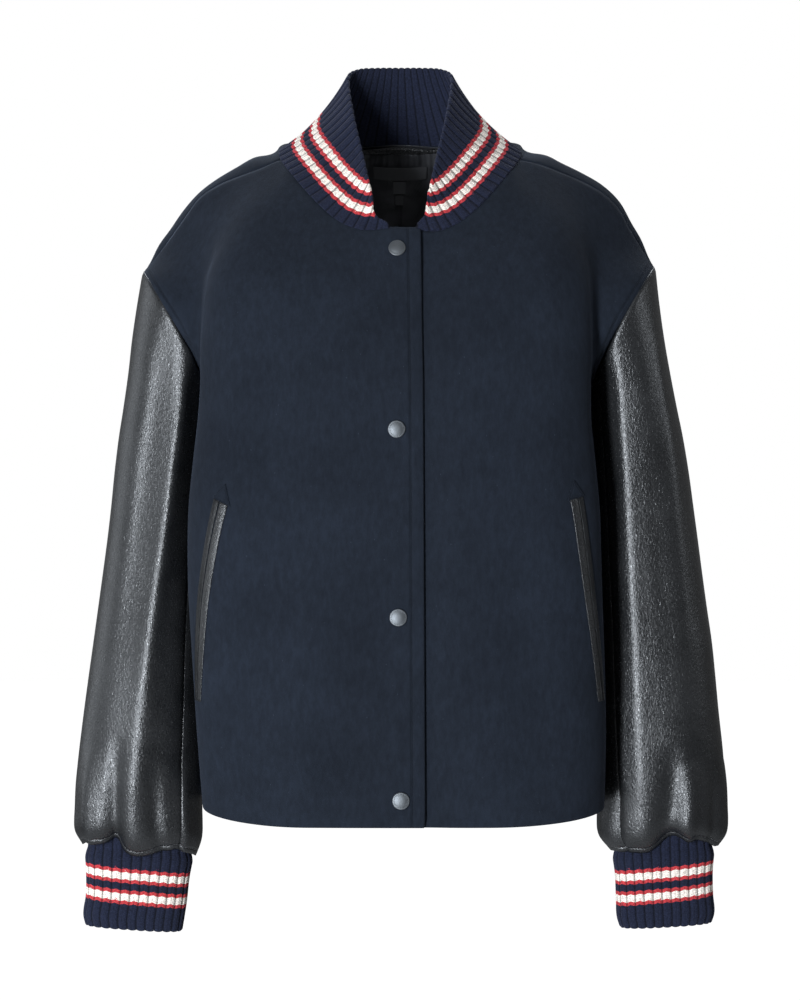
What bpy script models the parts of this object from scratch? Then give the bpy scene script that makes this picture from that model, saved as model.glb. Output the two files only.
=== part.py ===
"""Varsity jacket: wool body, leather sleeves, rib-knit collar and cuffs, four snaps and two welt pockets.

The jacket is filled out as if worn. It faces -Y, up is +Z, and the wearer's left side is at +X.
The origin lies inside the neck, level with the points where the collar meets the shoulder seams.
Every size below is in millimetres. The meshes are made in metres.

Each piece of cloth is a wall. Its outer points are worked out from sections of the body or rings of the
sleeve, and its inner points lie one thickness further in. Pieces that are sewn together share the line
of their seam and the direction in which their cut edges face, and stop a little short of that line.
"""

import math
from collections import namedtuple

import bmesh
import bpy
import numpy as np

for old in list(bpy.data.objects):
    bpy.data.objects.remove(old, do_unlink=True)

MM = 0.001

# Thickness of each cloth and the space left between pieces.
WOOL = 2.4
LEATHER = 1.6
KNIT = 2.6
RIB_HEIGHT = 0.9
LINING = 0.9
FACING = 1.1
SEAM = 0.16
GAP = 0.4
LOOSE = 2.0  # what hangs free inside the back

LEFT, RIGHT = -1, 1  # the viewer's left and right, which are the wearer's right and left
FRONT, BACK = -1, 1

# Columns of a front: from its edge to the neck's end, then along the shoulder seam.
NECK_COLUMNS = 8
SHOULDER_COLUMNS = 8
BACK_NECK_COLUMNS = 5
NECK_END = 0.5
FOLD_AT = 0.75
ROWS_BELOW_ARM = 10
ROWS_BESIDE_ARM = 11

OVERLAP_EDGE_TOP = 16.6
OVERLAP_EDGE_HEM = 20.1
UNDER_EDGE = -22.0
UNDER_INSET = 4.2  # the lower front lies this far behind the upper one's face
UNDER_DROP = 2.0
INSET_FROM, INSET_OVER = 22.0, 34.0  # where the lower front starts to come forward, and over what width

# How a section is drawn: lengths of its curves' handles, and where its height turns to the side's.
FRONT_HANDLE = 0.62
FOLD_HANDLE = 0.72
SIDE_HANDLE = 0.42
SQUARE_TURN = 0.1
HEIGHT_FROM, HEIGHT_OVER = 0.3, 0.55
EDGE_TURN, EDGE_TURN_OVER = 65.0, 0.55  # degrees that the side's heading turns outwards above the underarm

# Sections of the fronts. share runs from the hem (0) up the side seam to the underarm (1) and on round the
# armhole to the shoulder's tip (2). centre is at the front edge, fold is where the front turns into the side,
# heading is the way it faces there (90 is straight back). rise and set_back lift and draw back the middle.
FrontSection = namedtuple(
    "FrontSection", "share centre_y centre_z left_fold right_fold fold_y heading rise set_back"
)
FRONT_SECTIONS = (
    FrontSection(0.00, -121.0, -580.0, 170.0, 176.0, -55.0, 90, 0.0, 0.0),
    FrontSection(0.18, -124.0, -510.0, 174.5, 177.0, -62.0, 90, 0.0, 0.0),
    FrontSection(0.35, -125.0, -448.0, 178.0, 175.5, -66.0, 90, 0.0, 0.0),
    FrontSection(0.53, -125.0, -381.0, 181.5, 173.0, -69.0, 90, 0.0, 0.0),
    FrontSection(0.73, -125.0, -305.0, 180.5, 170.5, -70.0, 90, 0.0, 0.0),
    FrontSection(0.88, -124.5, -247.0, 174.5, 165.0, -70.0, 90, 0.0, 0.0),
    FrontSection(1.00, -122.5, -203.0, 171.5, 163.5, -70.0, 90, 2.0, 0.0),
    FrontSection(1.33, -119.0, -171.0, 170.5, 164.0, -73.0, 88, 12.0, 0.0),
    FrontSection(1.58, -111.5, -137.0, 168.0, 164.0, -72.0, 76, 32.0, 8.0),
    FrontSection(1.80, -100.0, -104.0, 164.0, 164.5, -62.0, 55, 52.0, 26.0),
)

# Sections of the back, with the same meaning.
BackSection = namedtuple(
    "BackSection", "share centre_y centre_z left_fold right_fold fold_y heading rise set_back"
)
BACK_SECTIONS = (
    BackSection(0.00, 104.0, -576.0, 171.0, 174.0, 60.0, 90, 0.0, 0.0),
    BackSection(0.18, 108.0, -508.0, 174.0, 175.0, 64.0, 90, 0.0, 0.0),
    BackSection(0.35, 110.0, -446.0, 176.0, 174.0, 66.0, 90, 0.0, 0.0),
    BackSection(0.53, 111.0, -379.0, 177.0, 173.0, 68.0, 90, 0.0, 0.0),
    BackSection(0.73, 112.0, -303.0, 176.0, 171.0, 70.0, 90, 0.0, 0.0),
    BackSection(0.88, 113.0, -246.0, 173.0, 168.0, 72.0, 90, 0.0, 0.0),
    BackSection(1.00, 114.0, -200.0, 171.0, 166.0, 74.0, 90, 0.0, 0.0),
    BackSection(1.27, 114.0, -150.0, 171.0, 167.0, 78.0, 86, 5.0, 0.0),
    BackSection(1.50, 108.0, -100.0, 171.0, 168.0, 74.0, 70, 14.0, 8.0),
    BackSection(1.70, 90.0, -50.0, 169.0, 168.0, 56.0, 50, 24.0, 20.0),
)

RIDGE_SHARE = 1.87  # where the ridge behind the shoulder seam meets the armhole
BELOW_NECK = (0.0, 3.5, -9.0)  # from the neck's edge to the row of the back below it

# The side seam, drawn in behind the sleeve.
SideSeam = namedtuple("SideSeam", "share left right z")
SIDE_SEAM = (
    SideSeam(0.00, 161.0, 164.0, -567.0),
    SideSeam(0.18, 159.0, 163.0, -503.0),
    SideSeam(0.35, 158.5, 161.5, -442.0),
    SideSeam(0.53, 159.0, 160.5, -376.5),
    SideSeam(0.73, 161.0, 160.5, -303.0),
    SideSeam(0.88, 164.0, 163.0, -249.0),
    SideSeam(1.00, 167.2, 166.0, -207.7),
)
SIDE_SEAM_Y = 3.5

# The armhole is a slanted ring from the underarm up to the shoulder's tip.
Armhole = namedtuple("Armhole", "under_x under_z tip_x tip_z bow")
ARMHOLES = {
    LEFT: Armhole(167.2, -207.7, 225.6, -104.5, 3.5),
    RIGHT: Armhole(166.0, -207.7, 224.0, -100.5, 5.5),
}
ARMHOLE_TIP_Y = -5.0
ARMHOLE_DEPTH = {FRONT: 61.0, BACK: 70.0}
HOLE_LEAN = 0.6  # how far the cut edges there lean towards the body

# The shoulder: height of the forward seam and of the ridge behind it, out from the neck.
Shoulder = namedtuple("Shoulder", "x seam_y left_seam left_ridge right_seam right_ridge ridge_y")
SHOULDER = (
    Shoulder(103.0, -19.0, -8.0, 4.5, -6.0, 6.0, 5.0),
    Shoulder(125.0, -18.0, -15.7, 0.5, -12.0, 2.5, 8.0),
    Shoulder(150.0, -16.0, -25.0, -13.5, -22.0, -10.0, 10.0),
    Shoulder(172.0, -14.0, -36.0, -30.0, -31.8, -22.0, 11.0),
    Shoulder(190.0, -11.0, -58.0, -47.5, -46.5, -37.0, 11.0),
    Shoulder(205.0, -9.0, -79.0, -69.0, -72.0, -61.5, 10.0),
    Shoulder(217.0, -7.0, -94.5, -86.0, -90.5, -82.5, 9.0),
    Shoulder(224.5, -5.0, -104.0, -98.0, -100.0, -94.0, 6.0),
)

# The collar from its front tip (station 0) past the shoulder seam (6) to the centre of the back (11).
CollarStation = namedtuple("CollarStation", "base_x base_y base_z top_x top_y top_z")
COLLAR = (
    CollarStation(12.0, -86.2, -72.5, 12.6, -85.6, -70.3),
    CollarStation(25.5, -85.4, -74.0, 22.0, -82.7, -62.5),
    CollarStation(38.0, -83.6, -72.5, 25.0, -79.0, -45.0),
    CollarStation(54.6, -78.3, -64.0, 29.0, -72.0, -28.0),
    CollarStation(74.6, -66.0, -44.5, 33.6, -58.0, -6.7),
    CollarStation(94.0, -42.0, -20.5, 40.0, -38.7, 20.7),
    CollarStation(103.0, -19.0, -7.0, 43.5, -20.0, 39.5),
    CollarStation(104.5, -2.0, 2.0, 45.8, -2.0, 54.0),
    CollarStation(97.0, 18.5, 9.0, 46.0, 19.4, 70.0),
    CollarStation(72.0, 38.7, 12.5, 38.0, 35.2, 77.2),
    CollarStation(37.0, 50.2, 13.7, 20.0, 41.4, 79.0),
    CollarStation(0.0, 52.8, 14.2, 0.0, 43.1, 79.2),
)
TIP_X = {LEFT: 9.7, RIGHT: 14.8}  # the two front tips lie unevenly about the centre
SHOULDER_STATION = 6
COLLAR_RIBS = 84
COLLAR_ROWS = 3
COLLAR_FLARE = 4.5  # how far the collar's middle curves in from a straight line
FULL_FLARE_HEIGHT = 60.0
FULL_RIB_HEIGHT = 14.0  # the ribs fade out where the collar is lower than this

# Rings of the sleeve. share runs from the armhole (0) to the cuff (1), and outer and inner are the ring's
# two sides away from and beside the body.
SleeveRing = namedtuple("SleeveRing", "share left_outer right_outer outer_z inner inner_z front back")
SLEEVE_RINGS = (
    SleeveRing(0.090, 233.5, 230.0, -150.0, 167.8, -222.0, 60.0, 66.0),
    SleeveRing(0.190, 239.5, 238.5, -200.0, 168.5, -245.0, 59.0, 63.0),
    SleeveRing(0.310, 248.5, 250.5, -260.0, 169.5, -284.0, 58.0, 60.0),
    SleeveRing(0.440, 255.6, 260.0, -326.0, 170.5, -335.0, 57.0, 58.0),
    SleeveRing(0.563, 264.0, 268.4, -390.0, 171.5, -392.0, 56.0, 57.0),
    SleeveRing(0.650, 270.0, 274.6, -434.0, 172.0, -434.0, 56.0, 56.0),
    SleeveRing(0.750, 277.0, 279.4, -485.0, 172.0, -484.0, 54.0, 53.0),
    SleeveRing(0.823, 281.6, 283.4, -522.0, 172.5, -521.0, 51.0, 50.0),
    SleeveRing(0.915, 285.7, 285.7, -573.0, 174.0, -573.0, 44.0, 43.0),
    SleeveRing(0.965, 284.3, 283.6, -598.0, 175.5, -600.0, 37.0, 36.0),
)
SLEEVE_CENTRE_Y = {0.0: 2.0, 0.45: 4.0, 1.0: -2.0}
SLEEVE_SQUARE = 0.88
SLEEVE_TWIST = 16.0  # degrees that the sleeve turns forward by the cuff
CLOSE_ROWS_FROM = 0.82  # rows lie closer together below this share
FRONT_SEAM_COLUMN = 2
BACK_SEAM_COLUMN = 15

# The largest folds of the sleeves. along are shares of the sleeve, angle is measured round it from the side
# beside the body towards the front.
SleeveFold = namedtuple("SleeveFold", "side along_start along_end angle_start angle_end width height")
SLEEVE_FOLDS = (
    SleeveFold(LEFT, 0.12, 0.84, 68, 98, 15, 3.2),
    SleeveFold(LEFT, 0.05, 0.55, 128, 140, 18, 2.0),
    SleeveFold(LEFT, 0.20, 0.90, 40, 58, 13, -2.4),
    SleeveFold(LEFT, 0.45, 0.97, 120, 112, 14, -2.2),
    SleeveFold(LEFT, 0.15, 0.80, 255, 285, 17, 2.8),
    SleeveFold(LEFT, 0.40, 0.95, 232, 240, 14, -2.0),
    SleeveFold(RIGHT, 0.12, 0.82, 66, 88, 14, 3.0),
    SleeveFold(RIGHT, 0.08, 0.60, 130, 122, 18, 2.2),
    SleeveFold(RIGHT, 0.35, 0.96, 100, 104, 12, -2.2),
    SleeveFold(RIGHT, 0.60, 0.98, 122, 134, 13, 2.6),
    SleeveFold(RIGHT, 0.15, 0.80, 250, 278, 17, 2.6),
    SleeveFold(RIGHT, 0.40, 0.95, 228, 236, 14, -2.2),
)
GATHERS = 8
GATHER_HEIGHT = 2.6
GATHER_START = 0.80
GATHER_RISE, GATHER_FALL = 0.12, 0.05
GATHER_TURN = 0.6  # turns the gathers round, the other way on the other sleeve
HOLE_GAP = 0.3  # between a sleeve's top and the armhole

# Rings of the cuff, from its seam down to its folded edge.
CuffRing = namedtuple(
    "CuffRing", "left_outer left_inner right_outer right_inner left_z right_z drop_left drop_right depth"
)
CUFF_RINGS = (
    CuffRing(276.0, 182.5, 275.5, 187.5, -613.5, -611.5, 5.0, 4.5, 25.0),
    CuffRing(274.8, 186.0, 273.8, 190.0, -630.0, -628.5, 6.0, 4.5, 24.0),
    CuffRing(275.0, 188.5, 274.0, 191.0, -652.0, -650.5, 6.0, 4.5, 23.5),
    CuffRing(277.0, 191.3, 274.8, 192.2, -670.5, -669.0, 5.5, 4.5, 23.0),
    CuffRing(275.5, 192.3, 273.0, 194.0, -676.5, -674.5, 5.5, 4.5, 22.0),
)
CUFF_RIBS = 28
CUFF_SQUARE = 0.72

SNAP_CENTRES = ((-2.5, -92.0), (-2.9, -246.0), (-1.5, -404.0), (0.8, -558.0))
# Radius and height of the snap's cap, from its rim to the middle of its dome.
SNAP_PROFILE = ((6.9, 0.0), (7.2, 0.5), (6.5, 1.6), (3.8, 2.1), (0.0, 2.4))
SNAP_SIDES = 16

# Pockets: the slit's two ends on the front, and the welts on both sides of it.
Pocket = namedtuple("Pocket", "top_x top_z bottom_x bottom_z")
POCKETS = {LEFT: Pocket(152.0, -307.0, 172.5, -476.0), RIGHT: Pocket(150.0, -304.0, 172.0, -476.0)}
POCKET_STEPS = 10
WELT_STEPS = 3
FRONT_WELT = (0.5, 7.2)
BACK_WELT = (-5.6, -0.5)
WELT_THICKNESS = 1.5
TAB_WIDTH = 17.0
TAB_HEIGHT = 14.5
TAB_THICKNESS = 1.3
TAB_TAPER = 0.94  # the tab narrows to a point
TAB_FOOT = 2.0
TAB_SHIFT = 1.0
ON_PANEL = 0.7

# What shows inside the neck: a leather facing under the collar, the lining below it, and three bare labels.
BELOW_EDGE = 1.0
FACING_HEIGHT = 7.0
LINING_DEPTH = 118.0
LINING_WIDTH = 100.0
Label = namedtuple("Label", "name x z width height")
LABELS = (
    Label("label_main", 0.0, -12.5, 46.0, 12.0),
    Label("label_size", -0.5, -26.0, 10.5, 12.0),
    Label("label_care", -0.5, -38.5, 6.5, 9.5),
)
LABEL_THICKNESS = 0.8


def smooth(knots, values, at):
    """The cubic curve through the values at their knots, read at each place in at."""
    knots = np.asarray(knots, float)
    values = np.asarray(values, float)
    at = np.clip(np.atleast_1d(np.asarray(at, float)), knots[0], knots[-1])
    slopes = np.gradient(values, knots, axis=0)
    start = np.clip(np.searchsorted(knots, at, side="right") - 1, 0, len(knots) - 2)
    extra = (1,) * (values.ndim - 1)
    span = (knots[start + 1] - knots[start]).reshape((-1,) + extra)
    t = (at.reshape((-1,) + extra) - knots[start].reshape((-1,) + extra)) / span
    from_start = (2 * t**3 - 3 * t**2 + 1) * values[start] + (t**3 - 2 * t**2 + t) * span * slopes[start]
    to_end = (3 * t**2 - 2 * t**3) * values[start + 1] + (t**3 - t**2) * span * slopes[start + 1]
    return from_start + to_end


def lofted(shares, curves, at):
    """The surface through a stack of curves, read at the given shares. Steps follow real distances."""
    curves = np.array(curves)
    steps = np.linalg.norm(np.diff(curves, axis=0), axis=2).mean(axis=1)
    distance = np.concatenate([[0.0], np.cumsum(steps)])
    return smooth(distance, curves, np.interp(at, shares, distance))


def ease(t):
    t = np.clip(t, 0.0, 1.0)
    return t * t * (3 - 2 * t)


def unit(vectors):
    vectors = np.asarray(vectors, float)
    return vectors / np.maximum(np.linalg.norm(vectors, axis=-1, keepdims=True), 1e-9)


def bezier(a, b, c, d, count=60):
    t = np.linspace(0.0, 1.0, count)[:, None]
    return (1 - t) ** 3 * a + 3 * (1 - t) ** 2 * t * b + 3 * (1 - t) * t**2 * c + t**3 * d


def spread(points, shares, turn_weight=28.0):
    """Points along a plan curve at the given shares of its length, with more of them where it turns."""
    steps = np.diff(points, axis=0)
    length = np.linalg.norm(steps, axis=1)
    angle = np.unwrap(np.arctan2(steps[:, 1], steps[:, 0]))
    turn = np.abs(np.diff(angle, prepend=angle[0]))
    measure = np.concatenate([[0.0], np.cumsum(length + turn_weight * turn)])
    at = np.asarray(shares) * measure[-1]
    return np.stack([np.interp(at, measure, points[:, axis]) for axis in range(2)], axis=1)


def side_edge(side, facing, shares):
    """Points of a panel's outer edge: the side seam up to the underarm, then half of the armhole."""
    seam = np.array([[row.left if side == LEFT else row.right, row.z] for row in SIDE_SEAM])
    knots = [row.share for row in SIDE_SEAM]
    hole = ARMHOLES[side]
    points = []
    for share in np.atleast_1d(shares):
        if share <= 1.0:
            x, z = smooth(knots, seam, share)[0]
            points.append((side * x, SIDE_SEAM_Y, z))
            continue
        angle = math.pi * (share - 1.0)
        up = (1 - math.cos(angle)) / 2
        bow = hole.bow * math.sin(angle) ** 2
        x = hole.under_x + (hole.tip_x - hole.under_x) * up - bow
        z = hole.under_z + (hole.tip_z - hole.under_z) * up
        depth = ARMHOLE_DEPTH[facing] * math.sin(angle)
        y = SIDE_SEAM_Y + (ARMHOLE_TIP_Y - SIDE_SEAM_Y) * up + facing * depth
        points.append((side * x, y, z))
    return np.array(points)


def armhole_inward(side, points, shares, lean):
    """The way the cut edges at the armhole face. lean is 1 for a body panel and -1 for the sleeve."""
    hole = ARMHOLES[side]
    centre = np.array(
        [side * (hole.under_x + hole.tip_x) / 2, SIDE_SEAM_Y, (hole.under_z + hole.tip_z) / 2]
    )
    to_body = np.array([-side, 0.0, 0.0])
    under = np.maximum(0.0, np.cos(np.pi * (np.asarray(shares) - 1.0))) ** 2
    return unit(unit(centre - points) + (HOLE_LEAN * (1 + lean * under))[:, None] * to_body)


def section_points(side, facing, section, start_x, start_y, columns):
    """One section of a front or of half the back, from its centre out to its side edge."""
    fold_x = section.left_fold if side == LEFT else section.right_fold
    start = np.array([start_x, start_y])
    fold = np.array([side * fold_x, section.fold_y])
    edge = side_edge(side, facing, section.share)[0]
    heading = math.radians(section.heading)
    at_fold = np.array([side * math.cos(heading), -facing * math.sin(heading)])
    edge_turn = math.radians(90 - EDGE_TURN * ease((section.share - 1.0) / EDGE_TURN_OVER))
    at_edge = np.array([side * math.cos(edge_turn), -facing * math.sin(edge_turn)])
    across, back = np.abs(fold - start)
    reach = np.linalg.norm(edge[:2] - fold)
    handle = FOLD_HANDLE * (back + SQUARE_TURN * across)
    front_curve = bezier(
        start, start + np.array([side * FRONT_HANDLE * across, 0.0]), fold - at_fold * handle, fold
    )
    handle = SIDE_HANDLE * reach
    side_curve = bezier(fold, fold + at_fold * handle, edge[:2] - at_edge * handle, edge[:2])
    in_front = columns <= FOLD_AT + 1e-9
    plan = np.empty((len(columns), 2))
    plan[in_front] = spread(front_curve, columns[in_front] / FOLD_AT)
    plan[~in_front] = spread(side_curve, (columns[~in_front] - FOLD_AT) / (1 - FOLD_AT))
    lift = np.sin(np.pi * columns) ** 2
    height = section.centre_z + (edge[2] - section.centre_z) * ease((columns - HEIGHT_FROM) / HEIGHT_OVER)
    depth = plan[:, 1] - facing * section.set_back * lift
    return np.column_stack([plan[:, 0], depth, height + section.rise * lift])


def collar_lines(side):
    """The collar's base and top points at each station on one side."""
    base = np.array([[side * row.base_x, row.base_y, row.base_z] for row in COLLAR])
    top = np.array([[side * row.top_x, row.top_y, row.top_z] for row in COLLAR])
    base[0, 0] = side * TIP_X[side]
    top[0, 0] = side * (TIP_X[side] + 0.6)
    return base, top


def shoulder_points(side, line):
    """The forward seam or the ridge at each shoulder column, evenly along it."""
    seam_z = [row.left_seam if side == LEFT else row.right_seam for row in SHOULDER]
    ridge_z = [row.left_ridge if side == LEFT else row.right_ridge for row in SHOULDER]
    xs = [side * row.x for row in SHOULDER]
    if line == "seam":
        points = np.column_stack([xs, [row.seam_y for row in SHOULDER], seam_z])
        points[0] = collar_lines(side)[0][SHOULDER_STATION]
        points[-1] = side_edge(side, FRONT, 2.0)[0]
    else:
        points = np.column_stack([xs, [row.ridge_y for row in SHOULDER], ridge_z])
        points[0, 0] += side * 4.0
    length = np.concatenate([[0.0], np.cumsum(np.linalg.norm(np.diff(points, axis=0), axis=1))])
    return smooth(length / length[-1], points, np.linspace(0, 1, SHOULDER_COLUMNS + 1))


ROW_SHARES = np.concatenate(
    [np.linspace(0, 1, ROWS_BELOW_ARM + 1), 1 + np.linspace(0, 1, ROWS_BESIDE_ARM + 1)[1:]]
)
FRONT_COLUMNS = np.linspace(0, 1, NECK_COLUMNS + SHOULDER_COLUMNS + 1)
BACK_HALF_COLUMNS = np.concatenate(
    [np.linspace(0, NECK_END, BACK_NECK_COLUMNS + 1), np.linspace(NECK_END, 1, SHOULDER_COLUMNS + 1)[1:]]
)


def front_points(side):
    """Outer points of a front, rows from hem to top and columns from its edge to the side."""
    curves = []
    for section in FRONT_SECTIONS:
        up = section.share / 2
        over_edge = OVERLAP_EDGE_HEM + (OVERLAP_EDGE_TOP - OVERLAP_EDGE_HEM) * up
        start_x = over_edge if side == LEFT else UNDER_EDGE
        curves.append(section_points(side, FRONT, section, start_x, section.centre_y, FRONT_COLUMNS))
    neck = collar_lines(side)[0][: SHOULDER_STATION + 1]
    edge = neck[0].copy()
    edge[0] = OVERLAP_EDGE_TOP if side == LEFT else UNDER_EDGE
    edge[2] -= UNDER_DROP if side == RIGHT else 0.0
    curves.append(np.vstack([edge, (edge + neck[0]) / 2, neck, shoulder_points(side, "seam")[1:]]))
    knots = [section.share for section in FRONT_SECTIONS] + [2.0]
    points = lofted(knots, curves, ROW_SHARES)
    points[:, -1] = side_edge(side, FRONT, ROW_SHARES)
    if side == RIGHT:
        # The lower front steps back by a wall where the upper one lies over it.
        inset = UNDER_INSET * (1 - ease((points[:, :, 0] - INSET_FROM) / INSET_OVER))
        points[:, :, 1] += inset
    return points


def back_points():
    """Outer points of the back, rows from hem to top and columns from side to side."""
    halves = []
    for side in (LEFT, RIGHT):
        curves = [
            section_points(side, BACK, section, 0.0, section.centre_y, BACK_HALF_COLUMNS)
            for section in BACK_SECTIONS
        ]
        neck = collar_lines(side)[0][: SHOULDER_STATION - 1 : -1]
        ridge = shoulder_points(side, "ridge")
        ridge[-1] = side_edge(side, BACK, RIDGE_SHARE)[0]
        below_neck = neck + np.array(BELOW_NECK)
        outward = np.linspace(0, 1, len(neck))[:, None]
        below_neck += outward * (ridge[0] - below_neck[-1])
        curves.append(np.vstack([below_neck, ridge[1:]]))
        curves.append(np.vstack([neck, shoulder_points(side, "seam")[1:]]))
        knots = [section.share for section in BACK_SECTIONS] + [RIDGE_SHARE, 2.0]
        points = lofted(knots, curves, ROW_SHARES)
        points[:, -1] = side_edge(side, BACK, ROW_SHARES)
        halves.append(points)
    return np.concatenate([halves[0][:, :0:-1], halves[1]], axis=1)


def outward_normals(points, away_from, closed=False):
    """Unit normals of a grid of points, facing away from a line up through away_from."""
    if closed:
        across = np.roll(points, -1, axis=1) - np.roll(points, 1, axis=1)
    else:
        across = np.gradient(points, axis=1)
    normals = unit(np.cross(across, np.gradient(points, axis=0)))
    if (normals * (points - away_from)).sum() < 0:
        normals = -normals
    return normals


def drawn_in(points, row=None, column=None, by=SEAM):
    """Moves one row or column of a grid towards its neighbour, to leave a seam's space."""
    if row is not None:
        beside = row + 1 if row == 0 else row - 1
        points[row] += by * unit(points[beside] - points[row])
    if column is not None:
        beside = column + 1 if column == 0 else column - 1
        points[:, column] += by * unit(points[:, beside] - points[:, column])


def material(name, colour, roughness, metallic=0.0):
    found = bpy.data.materials.get(name)
    if found:
        return found
    made = bpy.data.materials.new(name)
    made.use_nodes = True
    made.diffuse_color = (*colour, 1.0)
    shader = made.node_tree.nodes["Principled BSDF"]
    shader.inputs["Base Color"].default_value = (*colour, 1.0)
    shader.inputs["Roughness"].default_value = roughness
    shader.inputs["Metallic"].default_value = metallic
    return made


def wool():
    return material("navy_wool", (0.020, 0.027, 0.043), 0.9)


def leather():
    return material("black_leather", (0.015, 0.016, 0.018), 0.42)


def knit():
    return material("navy_rib_knit", (0.018, 0.018, 0.048), 0.85)


def satin():
    return material("black_satin", (0.008, 0.008, 0.010), 0.45)


def metal():
    return material("grey_metal", (0.26, 0.29, 0.31), 0.35, 1.0)


def wall(name, outer, inner, finish, closed=False):
    """A solid between two grids of points. closed joins the last column to the first."""
    rows, columns = outer.shape[:2]
    mesh = bmesh.new()
    skins = [
        [[mesh.verts.new(point * MM) for point in row] for row in grid]
        for grid in (outer, inner)
    ]
    last = columns if closed else columns - 1
    for skin in skins:
        for r in range(rows - 1):
            for c in range(last):
                after = (c + 1) % columns
                mesh.faces.new((skin[r][c], skin[r][after], skin[r + 1][after], skin[r + 1][c]))
    for r in (0, rows - 1):
        for c in range(last):
            after = (c + 1) % columns
            mesh.faces.new((skins[0][r][c], skins[0][r][after], skins[1][r][after], skins[1][r][c]))
    if not closed:
        for c in (0, columns - 1):
            for r in range(rows - 1):
                mesh.faces.new((skins[0][r][c], skins[0][r + 1][c], skins[1][r + 1][c], skins[1][r][c]))
    return finished(name, mesh, finish)


def finished(name, mesh, finish):
    """Turns a closed bmesh into an object with its faces outwards and smooth shading off its edges."""
    bmesh.ops.recalc_face_normals(mesh, faces=mesh.faces)
    data = bpy.data.meshes.new(name)
    mesh.to_mesh(data)
    mesh.free()
    data.materials.append(finish)
    data.shade_smooth()
    data.set_sharp_from_angle(angle=math.radians(40))
    made = bpy.data.objects.new(name, data)
    bpy.context.scene.collection.objects.link(made)
    return made


def at_grid(grid, row, column):
    """A grid's value between its points, row and column being fractions of an index."""
    r = min(max(int(row), 0), grid.shape[0] - 2)
    c = min(max(int(column), 0), grid.shape[1] - 2)
    down, across = row - r, column - c
    low = grid[r, c] * (1 - across) + grid[r, c + 1] * across
    high = grid[r + 1, c] * (1 - across) + grid[r + 1, c + 1] * across
    return low * (1 - down) + high * down


def grid_place(grid, x, z, columns):
    """Row and column of the point of a grid that lies at x and z, searched in a range of columns."""
    row = column = 0.0
    for _ in range(12):
        line = np.array([at_grid(grid, row, c) for c in columns])
        order = np.argsort(line[:, 0])
        column = float(np.interp(x, line[order, 0], np.asarray(columns, float)[order]))
        heights = np.array([at_grid(grid, r, column)[2] for r in range(grid.shape[0])])
        row = float(np.interp(z, heights, np.arange(grid.shape[0])))
    return row, column


# The body: two fronts and the back.
middle = np.array([0.0, 0.0, -300.0])
fronts = {side: front_points(side) for side in (LEFT, RIGHT)}
back = back_points()
front_out = {side: outward_normals(fronts[side], middle) for side in (LEFT, RIGHT)}
back_out = outward_normals(back, middle)
back_edge = {LEFT: 0, RIGHT: back.shape[1] - 1}
under_row = ROWS_BELOW_ARM
arm_shares = ROW_SHARES[under_row:]

collar_middle = np.array([0.0, -10.0, 0.0])
collar_base = np.vstack([collar_lines(LEFT)[0], collar_lines(RIGHT)[0][-2::-1]])
collar_top = np.vstack([collar_lines(LEFT)[1], collar_lines(RIGHT)[1][-2::-1]])
collar_out = outward_normals(np.array([collar_base, collar_top]), collar_middle)[0]
last_station = len(collar_base) - 1


def shoulder_columns_of_back(side):
    """Columns of the back from the neck's end to the shoulder's tip."""
    centre = back.shape[1] // 2
    return [centre + side * (BACK_NECK_COLUMNS + k) for k in range(SHOULDER_COLUMNS + 1)]


for side in (LEFT, RIGHT):
    shared = unit(front_out[side][:under_row, -1] + back_out[:under_row, back_edge[side]])
    front_out[side][:under_row, -1] = shared
    back_out[:under_row, back_edge[side]] = shared
    for k, column in enumerate(shoulder_columns_of_back(side)):
        shared = unit(front_out[side][-1, NECK_COLUMNS + k] + back_out[-1, column])
        front_out[side][-1, NECK_COLUMNS + k] = shared
        back_out[-1, column] = shared
    hole_front = side_edge(side, FRONT, arm_shares)
    hole_back = side_edge(side, BACK, arm_shares)
    front_out[side][under_row:, -1] = -armhole_inward(side, hole_front, arm_shares, 1)
    back_out[under_row:, back_edge[side]] = -armhole_inward(side, hole_back, arm_shares, 1)
    for station in range(SHOULDER_STATION + 1):
        of_collar = collar_out[station if side == LEFT else last_station - station]
        column = station + 2
        shared = unit(front_out[side][-1, column] + of_collar)
        front_out[side][-1, column] = shared
        if station == SHOULDER_STATION:
            back_out[-1, shoulder_columns_of_back(side)[0]] = shared
centre_column = back.shape[1] // 2
for k in range(-BACK_NECK_COLUMNS + 1, BACK_NECK_COLUMNS):
    station = last_station // 2 + k
    back_out[-1, centre_column + k] = unit(back_out[-1, centre_column + k] + collar_out[station])

neck_line = np.vstack(
    [
        fronts[LEFT][-1, 2 : NECK_COLUMNS + 1],
        back[-1, centre_column - BACK_NECK_COLUMNS + 1 : centre_column + BACK_NECK_COLUMNS],
        fronts[RIGHT][-1, NECK_COLUMNS:1:-1],
    ]
)
neck_out = np.vstack(
    [
        front_out[LEFT][-1, 2 : NECK_COLUMNS + 1],
        back_out[-1, centre_column - BACK_NECK_COLUMNS + 1 : centre_column + BACK_NECK_COLUMNS],
        front_out[RIGHT][-1, NECK_COLUMNS:1:-1],
    ]
)

for name, side in (("front_over", LEFT), ("front_under", RIGHT)):
    outer = fronts[side].copy()
    drawn_in(outer, row=-1)
    drawn_in(outer, column=-1)
    wall(name, outer, outer - WOOL * front_out[side], wool())
    fronts[side] = outer
outer = back.copy()
drawn_in(outer, row=-1)
drawn_in(outer, column=-1)
drawn_in(outer, column=0)
wall("back", outer, outer - WOOL * back_out, wool())
back = outer


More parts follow.
